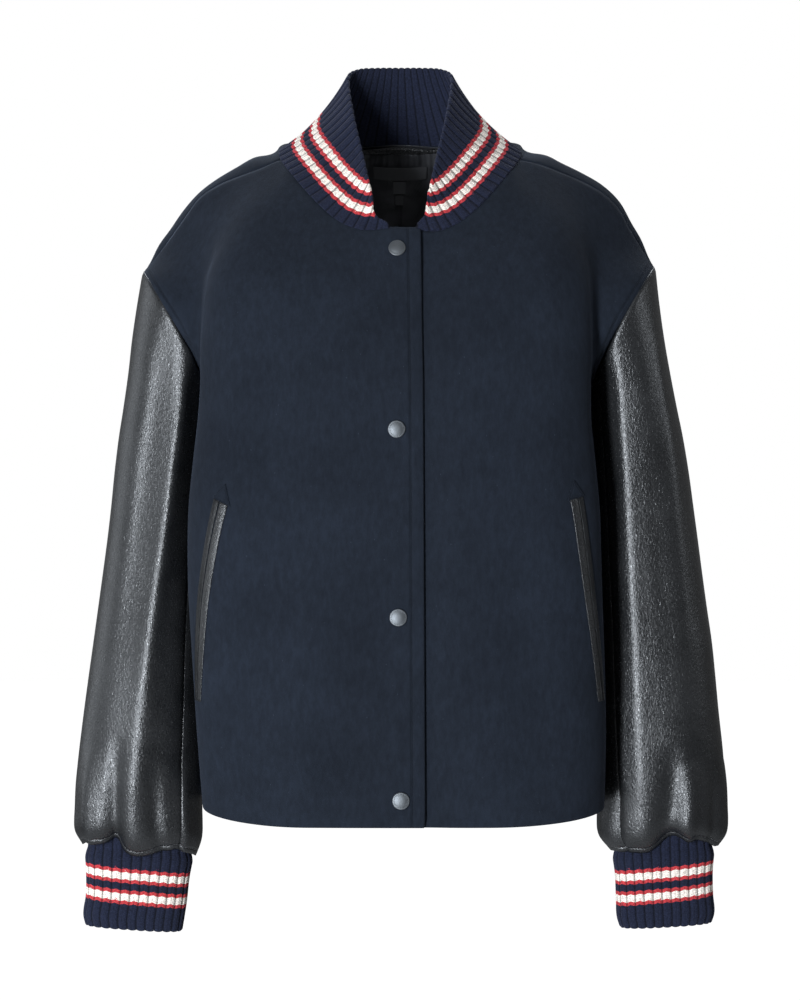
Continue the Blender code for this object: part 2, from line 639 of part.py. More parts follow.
# The collar, ribbed outside and plain inside.
columns = 2 * COLLAR_RIBS + 1
station_of = np.arange(last_station + 1)
along_base = np.concatenate([[0.0], np.cumsum(np.linalg.norm(np.diff(neck_line, axis=0), axis=1))])
stations = np.interp(np.linspace(0, along_base[-1], columns), along_base, station_of)
base = np.column_stack([np.interp(stations, station_of, neck_line[:, axis]) for axis in range(3)])
base_out = unit(np.column_stack([np.interp(stations, station_of, neck_out[:, axis]) for axis in range(3)]))
top = smooth(station_of, collar_top, stations)
flare = unit(np.cross(np.gradient(base, axis=0), top - base))
if (flare * (base - collar_middle)).sum() < 0:
    flare = -flare
height = np.linalg.norm(top - base, axis=1)
rows = []
for r in range(COLLAR_ROWS + 1):
    up = r / COLLAR_ROWS
    bow = COLLAR_FLARE * 4 * up * (1 - up) * np.minimum(1.0, height / FULL_FLARE_HEIGHT)
    rows.append(base + (top - base) * up - flare * bow[:, None])
surface = np.array(rows)
surface[0] += GAP * unit(surface[1] - surface[0])
collar_normals = outward_normals(surface, collar_middle)
collar_normals[0] = base_out
ribs = (np.arange(columns) % 2)[None, :, None] * RIB_HEIGHT * np.ones((COLLAR_ROWS + 1, 1, 1))
fade = np.minimum(1.0, height / FULL_RIB_HEIGHT)[None, :, None]
wall("collar", surface + collar_normals * ribs * fade, surface - KNIT * collar_normals, knit())


# The sleeves, each cut in two pieces, and their cuffs.
def ring_plan(angles, square):
    """The two parts of a squarish ring at each angle: how far out and how far forward."""
    out = -np.sign(np.cos(angles)) * np.abs(np.cos(angles)) ** square
    forward = np.sign(np.sin(angles)) * np.abs(np.sin(angles)) ** square
    return out, forward


def cuff_ring(side, ring, angles):
    """Points of one ring of a cuff."""
    outer_x, inner_x, z, drop = (
        (ring.left_outer, ring.left_inner, ring.left_z, ring.drop_left)
        if side == LEFT
        else (ring.right_outer, ring.right_inner, ring.right_z, ring.drop_right)
    )
    out, forward = ring_plan(angles, CUFF_SQUARE)
    x = (outer_x + inner_x) / 2 + out * (outer_x - inner_x) / 2
    return np.column_stack([side * x, CUFF_Y - forward * ring.depth, z - drop * (1 - out) / 2])


CUFF_Y = SLEEVE_CENTRE_Y[1.0]
ring_columns = 2 * ROWS_BESIDE_ARM
ring_angles = 2 * np.pi * np.arange(ring_columns) / ring_columns
sleeve_rows = np.concatenate([np.linspace(0, CLOSE_ROWS_FROM, 15), np.linspace(CLOSE_ROWS_FROM, 1.0, 7)[1:]])


def turned_angles(share):
    return ring_angles + math.radians(SLEEVE_TWIST) * share


def sleeve_points(side):
    """Outer points of a whole sleeve, rings from the armhole to the cuff."""
    hole = np.vstack([side_edge(side, FRONT, arm_shares), side_edge(side, BACK, arm_shares)[-2:0:-1]])
    rings = [hole]
    for ring in SLEEVE_RINGS:
        out, forward = ring_plan(turned_angles(ring.share), SLEEVE_SQUARE)
        outer_x = ring.left_outer if side == LEFT else ring.right_outer
        x = (outer_x + ring.inner) / 2 + out * (outer_x - ring.inner) / 2
        z = (ring.outer_z + ring.inner_z) / 2 + out * (ring.outer_z - ring.inner_z) / 2
        centre_y = float(np.interp(ring.share, list(SLEEVE_CENTRE_Y), list(SLEEVE_CENTRE_Y.values())))
        depth = np.where(forward > 0, ring.front, ring.back)
        rings.append(np.column_stack([side * x, centre_y - forward * depth, z]))
    rings.append(cuff_ring(side, CUFF_RINGS[0], turned_angles(1.0)))
    knots = [0.0] + [ring.share for ring in SLEEVE_RINGS] + [1.0]
    points = lofted(knots, rings, sleeve_rows)
    normals = outward_normals(points, points.mean(axis=1, keepdims=True), closed=True)
    return points + normals * fold_heights(side)[:, :, None], normals


def fold_heights(side):
    """How far the folds and the gathers above the cuff raise each point of a sleeve."""
    share = sleeve_rows[:, None]
    degrees = np.degrees(turned_angles(share))
    raised = np.zeros((len(sleeve_rows), ring_columns))
    for fold in SLEEVE_FOLDS:
        if fold.side != side:
            continue
        along = (share - fold.along_start) / (fold.along_end - fold.along_start)
        centre = fold.angle_start + (fold.angle_end - fold.angle_start) * along
        window = np.where((along > 0) & (along < 1), np.sin(np.pi * np.clip(along, 0, 1)) ** 0.7, 0.0)
        raised += fold.height * window * np.exp(-(((degrees - centre) / fold.width) ** 2))
    swell = ease((share - GATHER_START) / GATHER_RISE) * ease((1.0 - share) / GATHER_FALL)
    return raised + GATHER_HEIGHT * swell * np.cos(GATHERS * ring_angles + GATHER_TURN * side)


def cuff(side, name):
    ribs_round = 2 * CUFF_RIBS
    # Even steps along a squarish ring bunch up its angles, so the columns are set by length.
    fine = np.linspace(0, 2 * np.pi, 721)
    trace = cuff_ring(side, CUFF_RINGS[2], fine)
    length = np.concatenate([[0.0], np.cumsum(np.linalg.norm(np.diff(trace, axis=0), axis=1))])
    angles = np.interp((np.arange(ribs_round) + 0.5) / ribs_round * length[-1], length, fine)
    rings = np.array([cuff_ring(side, ring, angles) for ring in CUFF_RINGS])
    rings[0] += GAP * unit(rings[1] - rings[0])
    normals = outward_normals(rings, rings.mean(axis=1, keepdims=True), closed=True)
    normals[0] = flat_outward(rings[0])
    raise_by = (np.arange(ribs_round) % 2)[None, :, None] * RIB_HEIGHT
    wall(name, rings + normals * raise_by, rings - KNIT * normals, knit(), closed=True)


def flat_outward(ring):
    """Outward directions that lie in the plane of a ring."""
    axis = unit(np.cross(ring[len(ring) // 4] - ring.mean(axis=0), ring[0] - ring.mean(axis=0)))
    along = unit(np.roll(ring, -1, axis=0) - np.roll(ring, 1, axis=0))
    across = unit(np.cross(along, axis))
    return across if (across * (ring - ring.mean(axis=0))).sum() > 0 else -across


def sleeve(side, names):
    points, normals = sleeve_points(side)
    hole_shares = np.concatenate([arm_shares, arm_shares[-2:0:-1]])
    normals[0] = -armhole_inward(side, points[0], hole_shares, -1)
    normals[-1] = flat_outward(points[-1])
    drawn_in(points, row=0, by=HOLE_GAP)
    upper = list(range(FRONT_SEAM_COLUMN, BACK_SEAM_COLUMN + 1))
    under = list(range(BACK_SEAM_COLUMN, ring_columns)) + list(range(FRONT_SEAM_COLUMN + 1))
    for name, cut in zip(names, (upper, under)):
        piece = points[:, cut].copy()
        drawn_in(piece, column=0)
        drawn_in(piece, column=-1)
        wall(name, piece, piece - LEATHER * normals[:, cut], leather())


for side, word in ((LEFT, "right"), (RIGHT, "left")):
    sleeve(side, (f"sleeve_{word}_upper", f"sleeve_{word}_under"))
    cuff(side, f"cuff_{word}")


# Four snap caps, turned, on the upper front.
def turned(name, profile, centre, normal, finish):
    """A cap whose profile of radius and height is turned about a normal."""
    mesh = bmesh.new()
    normal = unit(normal)
    side_way = unit(np.cross(normal, (0.0, 0.0, 1.0)))
    up_way = np.cross(side_way, normal)
    rings = []
    for radius, rise in profile[:-1]:
        angles = 2 * np.pi * np.arange(SNAP_SIDES) / SNAP_SIDES
        ring = centre + rise * normal
        around = np.cos(angles)[:, None] * side_way + np.sin(angles)[:, None] * up_way
        rings.append([mesh.verts.new(point * MM) for point in ring + radius * around])
    crown = mesh.verts.new((centre + profile[-1][1] * normal) * MM)
    for low, high in zip(rings, rings[1:]):
        for k in range(SNAP_SIDES):
            after = (k + 1) % SNAP_SIDES
            mesh.faces.new((low[k], low[after], high[after], high[k]))
    for k in range(SNAP_SIDES):
        mesh.faces.new((rings[-1][k], rings[-1][(k + 1) % SNAP_SIDES], crown))
    mesh.faces.new(rings[0][::-1])
    return finished(name, mesh, finish)


upper_front = fronts[LEFT]
upper_out = outward_normals(upper_front, middle)
for number, (x, z) in enumerate(SNAP_CENTRES, start=1):
    place = grid_place(upper_front, x, z, range(0, 6))
    seat = at_grid(upper_front, *place)
    normal = unit(at_grid(upper_out, *place))
    turned(f"snap_{number}", SNAP_PROFILE, seat + ON_PANEL * normal, normal, metal())


# Welt pockets: two leather strips along a slit, and a small wool tab at its top.
def pocket(side, word):
    grid = fronts[side]
    normals = outward_normals(grid, middle)
    size = POCKETS[side]
    turning = range(4, 1 + round(FOLD_AT * (grid.shape[1] - 1)))
    top_place = np.array(grid_place(grid, side * size.top_x, size.top_z, turning))
    bottom_place = np.array(grid_place(grid, side * size.bottom_x, size.bottom_z, turning))

    def on_front(along, towards_front, up=0.0, out=0.0):
        row, column = top_place + (bottom_place - top_place) * along
        beside = np.linalg.norm(at_grid(grid, row, column) - at_grid(grid, row, column - 1))
        row_height = np.linalg.norm(at_grid(grid, row, column) - at_grid(grid, row + 1, column))
        place = (row + up / row_height, column - towards_front / beside)
        return at_grid(grid, *place) + out * unit(at_grid(normals, *place))

    for name, (start, end) in (("front_welt", FRONT_WELT), ("back_welt", BACK_WELT)):
        layers = []
        for out in (ON_PANEL + WELT_THICKNESS, ON_PANEL):
            layers.append(
                np.array(
                    [
                        [on_front(s, w, out=out) for w in np.linspace(start, end, WELT_STEPS + 1)]
                        for s in np.linspace(0, 1, POCKET_STEPS + 1)
                    ]
                )
            )
        wall(f"pocket_{word}_{name}", layers[0], layers[1], leather())
    layers = []
    for out in (ON_PANEL + TAB_THICKNESS, ON_PANEL):
        layer = []
        for t in np.linspace(0, 1, 4):
            width = TAB_WIDTH * (1 - TAB_TAPER * t)
            up = TAB_FOOT + TAB_HEIGHT * t
            across = np.linspace(-width / 2, width / 2, 5) + TAB_SHIFT
            layer.append([on_front(0.0, place, up=up, out=out) for place in across])
        layers.append(np.array(layer))
    wall(f"pocket_{word}_tab", layers[0], layers[1], wool())


for side, word in ((LEFT, "right"), (RIGHT, "left")):
    pocket(side, word)


# Inside the neck: facing, lining and labels, made from the back's own points, moved in.
back_in = -back_out


def behind_neck(xs, drops, depth):
    """Points on the inside of the back at distances below its neck edge."""
    found = []
    for drop in drops:
        line = []
        for x in xs:
            column = float(np.interp(x, back[-3, :, 0], np.arange(back.shape[1])))
            fine_rows = np.linspace(under_row, back.shape[0] - 1, 160)
            trace = np.array([at_grid(back, row, column) for row in fine_rows])[::-1]
            length = np.concatenate([[0.0], np.cumsum(np.linalg.norm(np.diff(trace, axis=0), axis=1))])
            row = float(np.interp(drop, length, fine_rows[::-1]))
            line.append(at_grid(back, row, column) + depth * unit(at_grid(back_in, row, column)))
        found.append(line)
    return np.array(found)


facing_xs = np.linspace(-0.5, 0.5, 17) * LINING_WIDTH
depths = (WOOL + LOOSE, WOOL + LOOSE + FACING)
facing_drops = np.linspace(BELOW_EDGE, BELOW_EDGE + FACING_HEIGHT, 3)
wall("neck_facing", *(behind_neck(facing_xs, facing_drops, depth) for depth in depths), leather())
depths = (WOOL + LOOSE, WOOL + LOOSE + LINING)
lining_drops = np.linspace(BELOW_EDGE + FACING_HEIGHT + GAP, LINING_DEPTH, 9)
wall("lining_back", *(behind_neck(facing_xs, lining_drops, depth) for depth in depths), satin())

on_lining = WOOL + LOOSE + LINING + GAP
for label in LABELS:
    xs = label.x + label.width * np.linspace(-0.5, 0.5, 5)
    neck_z = float(back[-1, centre_column, 2])
    drops = neck_z - label.z + label.height * np.linspace(-0.5, 0.5, 3)
    layers = [behind_neck(xs, drops, depth) for depth in (on_lining, on_lining + LABEL_THICKNESS)]
    wall(label.name, *layers, satin())
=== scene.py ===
"""A varsity jacket filled out as if worn: wool body, leather sleeves, striped rib-knit collar and cuffs."""

import math
from collections import namedtuple

import bmesh
import bpy
import numpy as np
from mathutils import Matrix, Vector


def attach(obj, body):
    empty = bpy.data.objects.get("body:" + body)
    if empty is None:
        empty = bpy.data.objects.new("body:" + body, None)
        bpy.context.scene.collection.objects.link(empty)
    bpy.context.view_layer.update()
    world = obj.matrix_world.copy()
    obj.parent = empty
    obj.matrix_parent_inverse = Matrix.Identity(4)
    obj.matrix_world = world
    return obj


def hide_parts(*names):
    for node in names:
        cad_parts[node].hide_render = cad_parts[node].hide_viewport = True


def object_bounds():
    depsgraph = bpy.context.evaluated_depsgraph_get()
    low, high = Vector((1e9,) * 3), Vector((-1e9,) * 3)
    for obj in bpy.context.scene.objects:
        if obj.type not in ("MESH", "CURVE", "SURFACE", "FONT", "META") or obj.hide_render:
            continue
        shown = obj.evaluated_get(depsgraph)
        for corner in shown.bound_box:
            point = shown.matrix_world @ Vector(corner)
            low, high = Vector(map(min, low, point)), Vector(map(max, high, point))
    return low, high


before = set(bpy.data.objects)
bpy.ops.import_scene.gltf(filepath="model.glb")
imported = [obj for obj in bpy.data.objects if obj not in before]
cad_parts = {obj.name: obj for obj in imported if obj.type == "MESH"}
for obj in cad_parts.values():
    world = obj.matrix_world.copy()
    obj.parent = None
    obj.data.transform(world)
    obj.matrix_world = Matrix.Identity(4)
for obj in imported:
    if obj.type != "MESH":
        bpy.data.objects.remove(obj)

cad_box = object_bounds()

# The view and the studio. The jacket hangs in the air before a level camera, far above a plain pale floor
# that only sends a little light up to it. Large soft lights stand in front, above, behind and at both sides.
CAMERA_AT = (0.0, -2.64, -0.3054)
LENS_MM = 108.0
SENSOR_MM = 36.0
FLOOR_BELOW = 1.6  # metres from the jacket's lowest point
FLOOR_SIZE = 60.0
FLOOR_WHITE = (0.5, 0.5, 0.5, 1.0)
FLOOR_GLOW = 0.97
WHITE = (1.0, 1.0, 1.0, 1.0)
SKY_BLUE = (0.97, 0.985, 1.0, 1.0)
SKY_SEEN = 1.0
SKY_LIGHT = 0.155
LIT_POINT = Vector((0.0, 0.0, -0.3))
DAYLIGHT = (0.87, 0.93, 1.0)


def table(fields, *rows):
    """Rows of values whose columns have names. The last values of a row are 0 if they are left out."""
    row = namedtuple("Row", fields, defaults=(0,) * len(fields.split()))
    return [row(*values) for values in rows]


# azimuth is degrees to the right of the camera and elevation degrees above it, seen from the jacket.
STUDIO = table(
    "name azimuth elevation distance width height power",
    ("key_left", -23, -7, 3.2, 0.4, 2.4, 134),
    ("fill_left", -58, -8, 3, 2.2, 1.8, 15),
    ("front_high", 4, 44, 3, 1.6, 0.9, 5),
    ("side_right", 80, 16, 2.8, 0.8, 1, 8),
    ("wash_left", -106, 10, 2.8, 2, 2.2, 18),
    ("overhead", 180, 74, 2.4, 1.6, 1.6, 14),
    ("behind_left", -150, 44, 3, 1.2, 1.2, 22),
    ("behind_right", 150, 44, 3, 1.2, 1.2, 22),
)


def new_object(name, data):
    made = bpy.data.objects.new(name, data)
    bpy.context.scene.collection.objects.link(made)
    return made


def studio_light(light):
    data = bpy.data.lights.new(light.name, "AREA")
    data.shape = "RECTANGLE"
    data.size, data.size_y = light.width, light.height
    data.energy = light.power
    data.color = DAYLIGHT
    made = new_object(light.name, data)
    turn, rise = math.radians(light.azimuth), math.radians(light.elevation)
    away = Vector((math.sin(turn) * math.cos(rise), -math.cos(turn) * math.cos(rise), math.sin(rise)))
    made.location = LIT_POINT + light.distance * away
    made.rotation_euler = (-away).to_track_quat("-Z", "Y").to_euler()
    made.visible_camera = False


def feed(node, inputs):
    """Gives a node its inputs: a socket is linked, and any other value is set."""
    for name, value in inputs.items():
        if isinstance(value, bpy.types.NodeSocket):
            node.id_data.links.new(value, node.inputs[name])
        else:
            node.inputs[name].default_value = value


def shader_node(tree, kind, inputs=None, **settings):
    made = tree.nodes.new("ShaderNode" + kind)
    for name, value in settings.items():
        setattr(made, name, value)
    feed(made, inputs or {})
    return made


def camera_sees(tree, seen, lighting):
    """Shows one shader to the camera and another to what it lights."""
    to_camera = shader_node(tree, "LightPath").outputs["Is Camera Ray"]
    return shader_node(tree, "MixShader", {0: to_camera, 1: lighting, 2: seen}).outputs[0]


def new_material(name):
    made = bpy.data.materials.new(name)
    made.use_nodes = True
    return made, made.node_tree, made.node_tree.nodes["Principled BSDF"]


def floor_material():
    """A pale sweep that the camera sees almost as bright as the sky, so that it doesn't show."""
    made, tree, shader = new_material("pale_floor")
    feed(shader, {"Base Color": FLOOR_WHITE, "Roughness": 1.0, "Specular IOR Level": 0.0})
    glow = shader_node(tree, "Emission", {"Color": WHITE, "Strength": FLOOR_GLOW})
    both = shader_node(tree, "AddShader", {0: shader.outputs[0], 1: glow.outputs[0]})
    shown = camera_sees(tree, both.outputs[0], shader.outputs[0])
    tree.links.new(shown, tree.nodes["Material Output"].inputs["Surface"])
    return made


camera_data = bpy.data.cameras.new("camera")
camera_data.sensor_fit = "VERTICAL"
camera_data.sensor_height = SENSOR_MM
camera_data.lens = LENS_MM
camera = new_object("camera", camera_data)
camera.location = CAMERA_AT
camera.rotation_euler = (math.pi / 2, 0.0, 0.0)
bpy.context.scene.camera = camera
bpy.context.scene.view_settings.view_transform = "Standard"

for light in STUDIO:
    studio_light(light)

half, floor_z = FLOOR_SIZE / 2, cad_box[0][2] - FLOOR_BELOW
floor_corners = [(x, y, floor_z) for x, y in ((-half, -half), (half, -half), (half, half), (-half, half))]
floor_mesh = bpy.data.meshes.new("floor")
floor_mesh.from_pydata(floor_corners, [], [(0, 1, 2, 3)])
floor_mesh.materials.append(floor_material())
floor = new_object("floor", floor_mesh)

world = bpy.data.worlds.new("studio_sky")
world.use_nodes = True
sky = world.node_tree
sky.nodes.clear()
seen = shader_node(sky, "Background", {"Color": WHITE, "Strength": SKY_SEEN})
lighting = shader_node(sky, "Background", {"Color": SKY_BLUE, "Strength": SKY_LIGHT})
shader_node(sky, "OutputWorld", {"Surface": camera_sees(sky, seen.outputs[0], lighting.outputs[0])})
bpy.context.scene.world = world


# The body: two fronts and a back of wool melton, 2.4 mm thick, with a black satin lining inside. The back
# wraps over the shoulders to a forward seam. Each panel is a grid of points from hem to top, worked out
# from sections of the body in millimetres, and its seams are pressed and topstitched.
MM = 0.001
LEFT, RIGHT = -1, 1
FRONT, BACK = -1, 1
WOOL = 2.4

# The columns and rows of the panels' first grids, and the share of a section at which its side fold lies.
NECK_COLUMNS = 8
SHOULDER_COLUMNS = 8
BACK_NECK_COLUMNS = 5
NECK_END = 0.5
FOLD_AT = 0.75
ROWS_BELOW_ARM = 10
ROWS_BESIDE_ARM = 11
FINER_BODY = 6

# The fronts' edges across, and how far the under one lies back and down beneath the other.
OVERLAP_EDGE_TOP = 16.6
OVERLAP_EDGE_HEM = 20.1
UNDER_EDGE = -22.0
UNDER_INSET = 4.2
UNDER_DROP = 2.0
INSET_FROM, INSET_OVER = 22.0, 34.0

# How strongly the curves of a section pull at its centre, its fold and its seam.
FRONT_HANDLE = 0.62
FOLD_HANDLE = 0.72
SIDE_HANDLE = 0.42
SQUARE_TURN = 0.1
# Where a section leaves the height of its centre, and how its edge turns outwards beside the armhole.
HEIGHT_FROM, HEIGHT_OVER = 0.3, 0.55
EDGE_TURN, EDGE_TURN_OVER = 65.0, 0.55
TURN_WEIGHT = 28.0

# share runs up the side seam to the underarm (1) and round the armhole to the shoulder's tip (2).
# turned_in is how many degrees a side fold is turned in, and rise and set_back round the upper sections.
SECTION = "share centre_y centre_z left_fold right_fold fold_y turned_in rise set_back"
FRONT_SECTIONS = table(
    SECTION,
    (0.00, -121, -580, 170, 176, -55),
    (0.18, -124, -510, 174.5, 177, -62),
    (0.35, -125, -448, 178, 175.5, -66),
    (0.53, -125, -381, 181.5, 173, -69),
    (0.73, -125, -305, 180.5, 170.5, -70),
    (0.88, -124.5, -247, 174.5, 165, -70),
    (1.00, -122.5, -203, 171.5, 163.5, -70, 0, 2),
    (1.33, -119, -171, 170.5, 164, -73, 2, 12),
    (1.58, -111.5, -137, 168, 164, -72, 14, 32, 8),
    (1.80, -100, -104, 164, 164.5, -62, 35, 52, 26),
)
BACK_SECTIONS = table(
    SECTION,
    (0.00, 104, -576, 171, 174, 60),
    (0.18, 108, -508, 174, 175, 64),
    (0.35, 110, -446, 176, 174, 66),
    (0.53, 111, -379, 177, 173, 68),
    (0.73, 112, -303, 176, 171, 70),
    (0.88, 113, -246, 173, 168, 72),
    (1.00, 114, -200, 171, 166, 74),
    (1.27, 114, -150, 171, 167, 78, 4, 5),
    (1.50, 108, -100, 171, 168, 74, 20, 14, 8),
    (1.70, 90, -50, 169, 168, 56, 40, 24, 20),
)
RIDGE_SHARE = 1.87
BELOW_NECK = (0.0, 3.5, -9.0)

SIDE_SEAM = table(
    "share left_x right_x z",
    (0.00, 161, 164, -567),
    (0.18, 159, 163, -503),
    (0.35, 158.5, 161.5, -442),
    (0.53, 159, 160.5, -376.5),
    (0.73, 161, 160.5, -303),
    (0.88, 164, 163, -249),
    (1.00, 167.2, 166, -207.7),
)
SIDE_SEAM_Y = 3.5

Armhole = namedtuple("Armhole", "under_x under_z tip_x tip_z bow")
ARMHOLES = {
    LEFT: Armhole(167.2, -207.7, 225.6, -104.5, 3.5),
    RIGHT: Armhole(166.0, -207.7, 224.0, -100.5, 5.5),
}
ARMHOLE_TIP_Y = -5.0  # where it meets the shoulder seam
ARMHOLE_DEPTH = {FRONT: 61.0, BACK: 70.0}

SHOULDER = table(
    "x seam_y left_seam left_ridge right_seam right_ridge ridge_y",
    (103, -19, -8, 4.5, -6, 6, 5),
    (125, -18, -15.7, 0.5, -12, 2.5, 8),
    (150, -16, -25, -13.5, -22, -10, 10),
    (172, -14, -36, -30, -31.8, -22, 11),
    (190, -11, -58, -47.5, -46.5, -37, 11),
    (205, -9, -79, -69, -72, -61.5, 10),
    (217, -7, -94.5, -86, -90.5, -82.5, 9),
    (224.5, -5, -104, -98, -100, -94, 6),
)

# The collar's base and top, from its front tip (station 0) past the shoulder seam (6) to the back's middle.
COLLAR = table(
    "base_x base_y base_z top_x top_y top_z",
    (12, -86.2, -72.5, 12.6, -85.6, -70.3),
    (25.5, -85.4, -74, 22, -82.7, -62.5),
    (38, -83.6, -72.5, 25, -79, -45),
    (54.6, -78.3, -64, 29, -72, -28),
    (74.6, -66, -44.5, 33.6, -58, -6.7),
    (94, -42, -20.5, 40, -38.7, 20.7),
    (103, -19, -7, 43.5, -20, 39.5),
    (104.5, -2, 2, 45.8, -2, 54),
    (97, 18.5, 9, 46, 19.4, 70),
    (72, 38.7, 12.5, 38, 35.2, 77.2),
    (37, 50.2, 13.7, 20, 41.4, 79),
    (0, 52.8, 14.2, 0, 43.1, 79.2),
)
TIP_X, TIP_LEAN = {LEFT: 9.7, RIGHT: 14.8}, 0.6
SHOULDER_STATION = 6
RIDGE_START = 4.0

# Soft folds of the body, by where they start and end across and up, in mm. A trough has a negative height.
CLOTH_FOLD = "start_x start_z end_x end_z width height"
FRONT_FOLDS = table(
    CLOTH_FOLD,
    (-150, -150, -118, -330, 24, 1.6),
    (-128, -180, -96, -420, 30, -1.4),
    (-70, -330, -84, -570, 34, 1.8),
    (-112, -420, -126, -580, 26, -1.6),
    (-36, -160, -44, -380, 30, 1.1),
    (-168, -215, -120, -262, 16, -1.5),
    (146, -160, 112, -350, 24, 1.7),
    (120, -200, 92, -430, 28, -1.5),
    (62, -320, 78, -575, 32, 1.9),
    (106, -400, 118, -578, 27, -1.7),
    (40, -140, 46, -330, 30, 1),
    (162, -222, 124, -276, 17, -1.4),
)
BACK_FOLDS = table(
    CLOTH_FOLD,
    (-140, -120, -100, -340, 26, 2),
    (-100, -160, -70, -420, 30, -1.8),
    (-48, -300, -60, -575, 32, 2.2),
    (-118, -380, -130, -574, 26, -2),
    (10, -220, 4, -520, 34, -1.6),
    (132, -130, 96, -330, 25, 2.1),
    (96, -180, 74, -450, 30, -1.7),
    (56, -330, 66, -576, 33, 2.1),
    (120, -410, 132, -572, 25, -1.9),
    (-150, -205, -96, -250, 18, -1.6),
    (150, -210, 104, -262, 17, -1.5),
)
# A fold rises slowly from its ends, where it still has FOLD_END of its height, and it settles near the seams.
FOLD_END, FOLD_ROUNDING = 0.35, 0.8
SETTLE_BELOW_TOP, SETTLE_BESIDE = 30.0, 14.0
SEAM_DIP, SEAM_DIP_WIDTH = 1.1, 2.6  # how the cloth is drawn down into a seam
NECK_CORNER, NECK_CORNER_REACH = (104.5, -2.0, 2.0), 15.0
NECK_CORNER_PASSES, NECK_CORNER_THINNED = 80, 0.8
# How far stitch lines run from the front edge and the armhole, how far out their distances are kept, and the
# distance that stands for no stitches.
STITCH_FROM_EDGE, EDGE_REACH = 9.7, 29.1
STITCH_FROM_ARMHOLE, ARMHOLE_REACH = 6.0, 40.0
NO_STITCH = 60.0

WOOL_NAVY = (0.0098, 0.0135, 0.0212, 1.0)
WOOL_LIGHT = (0.0128, 0.0176, 0.0278, 1.0)
WOOL_DARK = (0.0072, 0.0100, 0.0160, 1.0)
# The next colour is painted shade for the stitch grooves.
WOOL_GROOVE_SHADE = (0.004, 0.006, 0.010, 1.0)
WOOL_HAIR = (0.075, 0.092, 0.125, 1.0)
WOOL_SHEEN = (0.55, 0.68, 0.95, 1.0)
SATIN_BLACK = (0.022, 0.0225, 0.0255, 1.0)
SATIN_PAINTED_SHEEN = (0.075, 0.076, 0.083, 1.0)


def smooth(knots, values, at):
    """The cubic curve through the values at their knots, read at each place in at."""
    knots = np.asarray(knots, float)
    values = np.asarray(values, float)
    at = np.clip(np.atleast_1d(np.asarray(at, float)), knots[0], knots[-1])
    slopes = np.gradient(values, knots, axis=0)
    start = np.clip(np.searchsorted(knots, at, side="right") - 1, 0, len(knots) - 2)
    extra = (1,) * (values.ndim - 1)
    span = (knots[start + 1] - knots[start]).reshape((-1,) + extra)
    t = (at.reshape((-1,) + extra) - knots[start].reshape((-1,) + extra)) / span
    from_start = (2 * t**3 - 3 * t**2 + 1) * values[start] + (t**3 - 2 * t**2 + t) * span * slopes[start]
    to_end = (3 * t**2 - 2 * t**3) * values[start + 1] + (t**3 - t**2) * span * slopes[start + 1]
    return from_start + to_end


def lofted(shares, curves, at):
    """The surface through a stack of curves, smooth over their real distances, at the given shares."""
    curves = np.array(curves)
    steps = np.linalg.norm(np.diff(curves, axis=0), axis=2).mean(axis=1)
    distance = np.concatenate([[0.0], np.cumsum(steps)])
    return smooth(distance, curves, np.interp(at, shares, distance))


def ease(t):
    t = np.clip(t, 0.0, 1.0)
    return t * t * (3 - 2 * t)


def unit(vectors):
    vectors = np.asarray(vectors, float)
    return vectors / np.maximum(np.linalg.norm(vectors, axis=-1, keepdims=True), 1e-9)


def bezier(a, b, c, d, count=60):
    t = np.linspace(0.0, 1.0, count)[:, None]
    return (1 - t) ** 3 * a + 3 * (1 - t) ** 2 * t * b + 3 * (1 - t) * t**2 * c + t**3 * d


def length_along(points):
    """The distance from a curve's first point to each of its points."""
    return np.concatenate([[0.0], np.cumsum(np.linalg.norm(np.diff(points, axis=0), axis=1))])


def spread(points, shares):
    """Points along a plan curve at the given shares of its length, with more of them where it turns."""
    steps = np.diff(points, axis=0)
    length = np.linalg.norm(steps, axis=1)
    angle = np.unwrap(np.arctan2(steps[:, 1], steps[:, 0]))
    turn = np.abs(np.diff(angle, prepend=angle[0]))
    measure = np.concatenate([[0.0], np.cumsum(length + TURN_WEIGHT * turn)])
    at = np.asarray(shares) * measure[-1]
    return np.stack([np.interp(at, measure, points[:, axis]) for axis in range(2)], axis=1)


def on_side(row, side, name):
    """The value of a row on one side, which is given for the left and the right."""
    return getattr(row, ("left_" if side == LEFT else "right_") + name)


def side_edge(side, facing, shares):
    """Points of a panel's outer edge: the side seam up to the underarm, then half of the armhole."""
    seam = np.array([[on_side(row, side, "x"), row.z] for row in SIDE_SEAM])
    knots = [row.share for row in SIDE_SEAM]
    hole = ARMHOLES[side]
    points = []
    for share in np.atleast_1d(shares):
        if share <= 1.0:
            x, z = smooth(knots, seam, share)[0]
            points.append((side * x, SIDE_SEAM_Y, z))
            continue
        angle = math.pi * (share - 1.0)
        up = (1 - math.cos(angle)) / 2
        bow = hole.bow * math.sin(angle) ** 2
        x = hole.under_x + (hole.tip_x - hole.under_x) * up - bow
        z = hole.under_z + (hole.tip_z - hole.under_z) * up
        y = SIDE_SEAM_Y + (ARMHOLE_TIP_Y - SIDE_SEAM_Y) * up
        y += facing * ARMHOLE_DEPTH[facing] * math.sin(angle)
        points.append((side * x, y, z))
    return np.array(points)


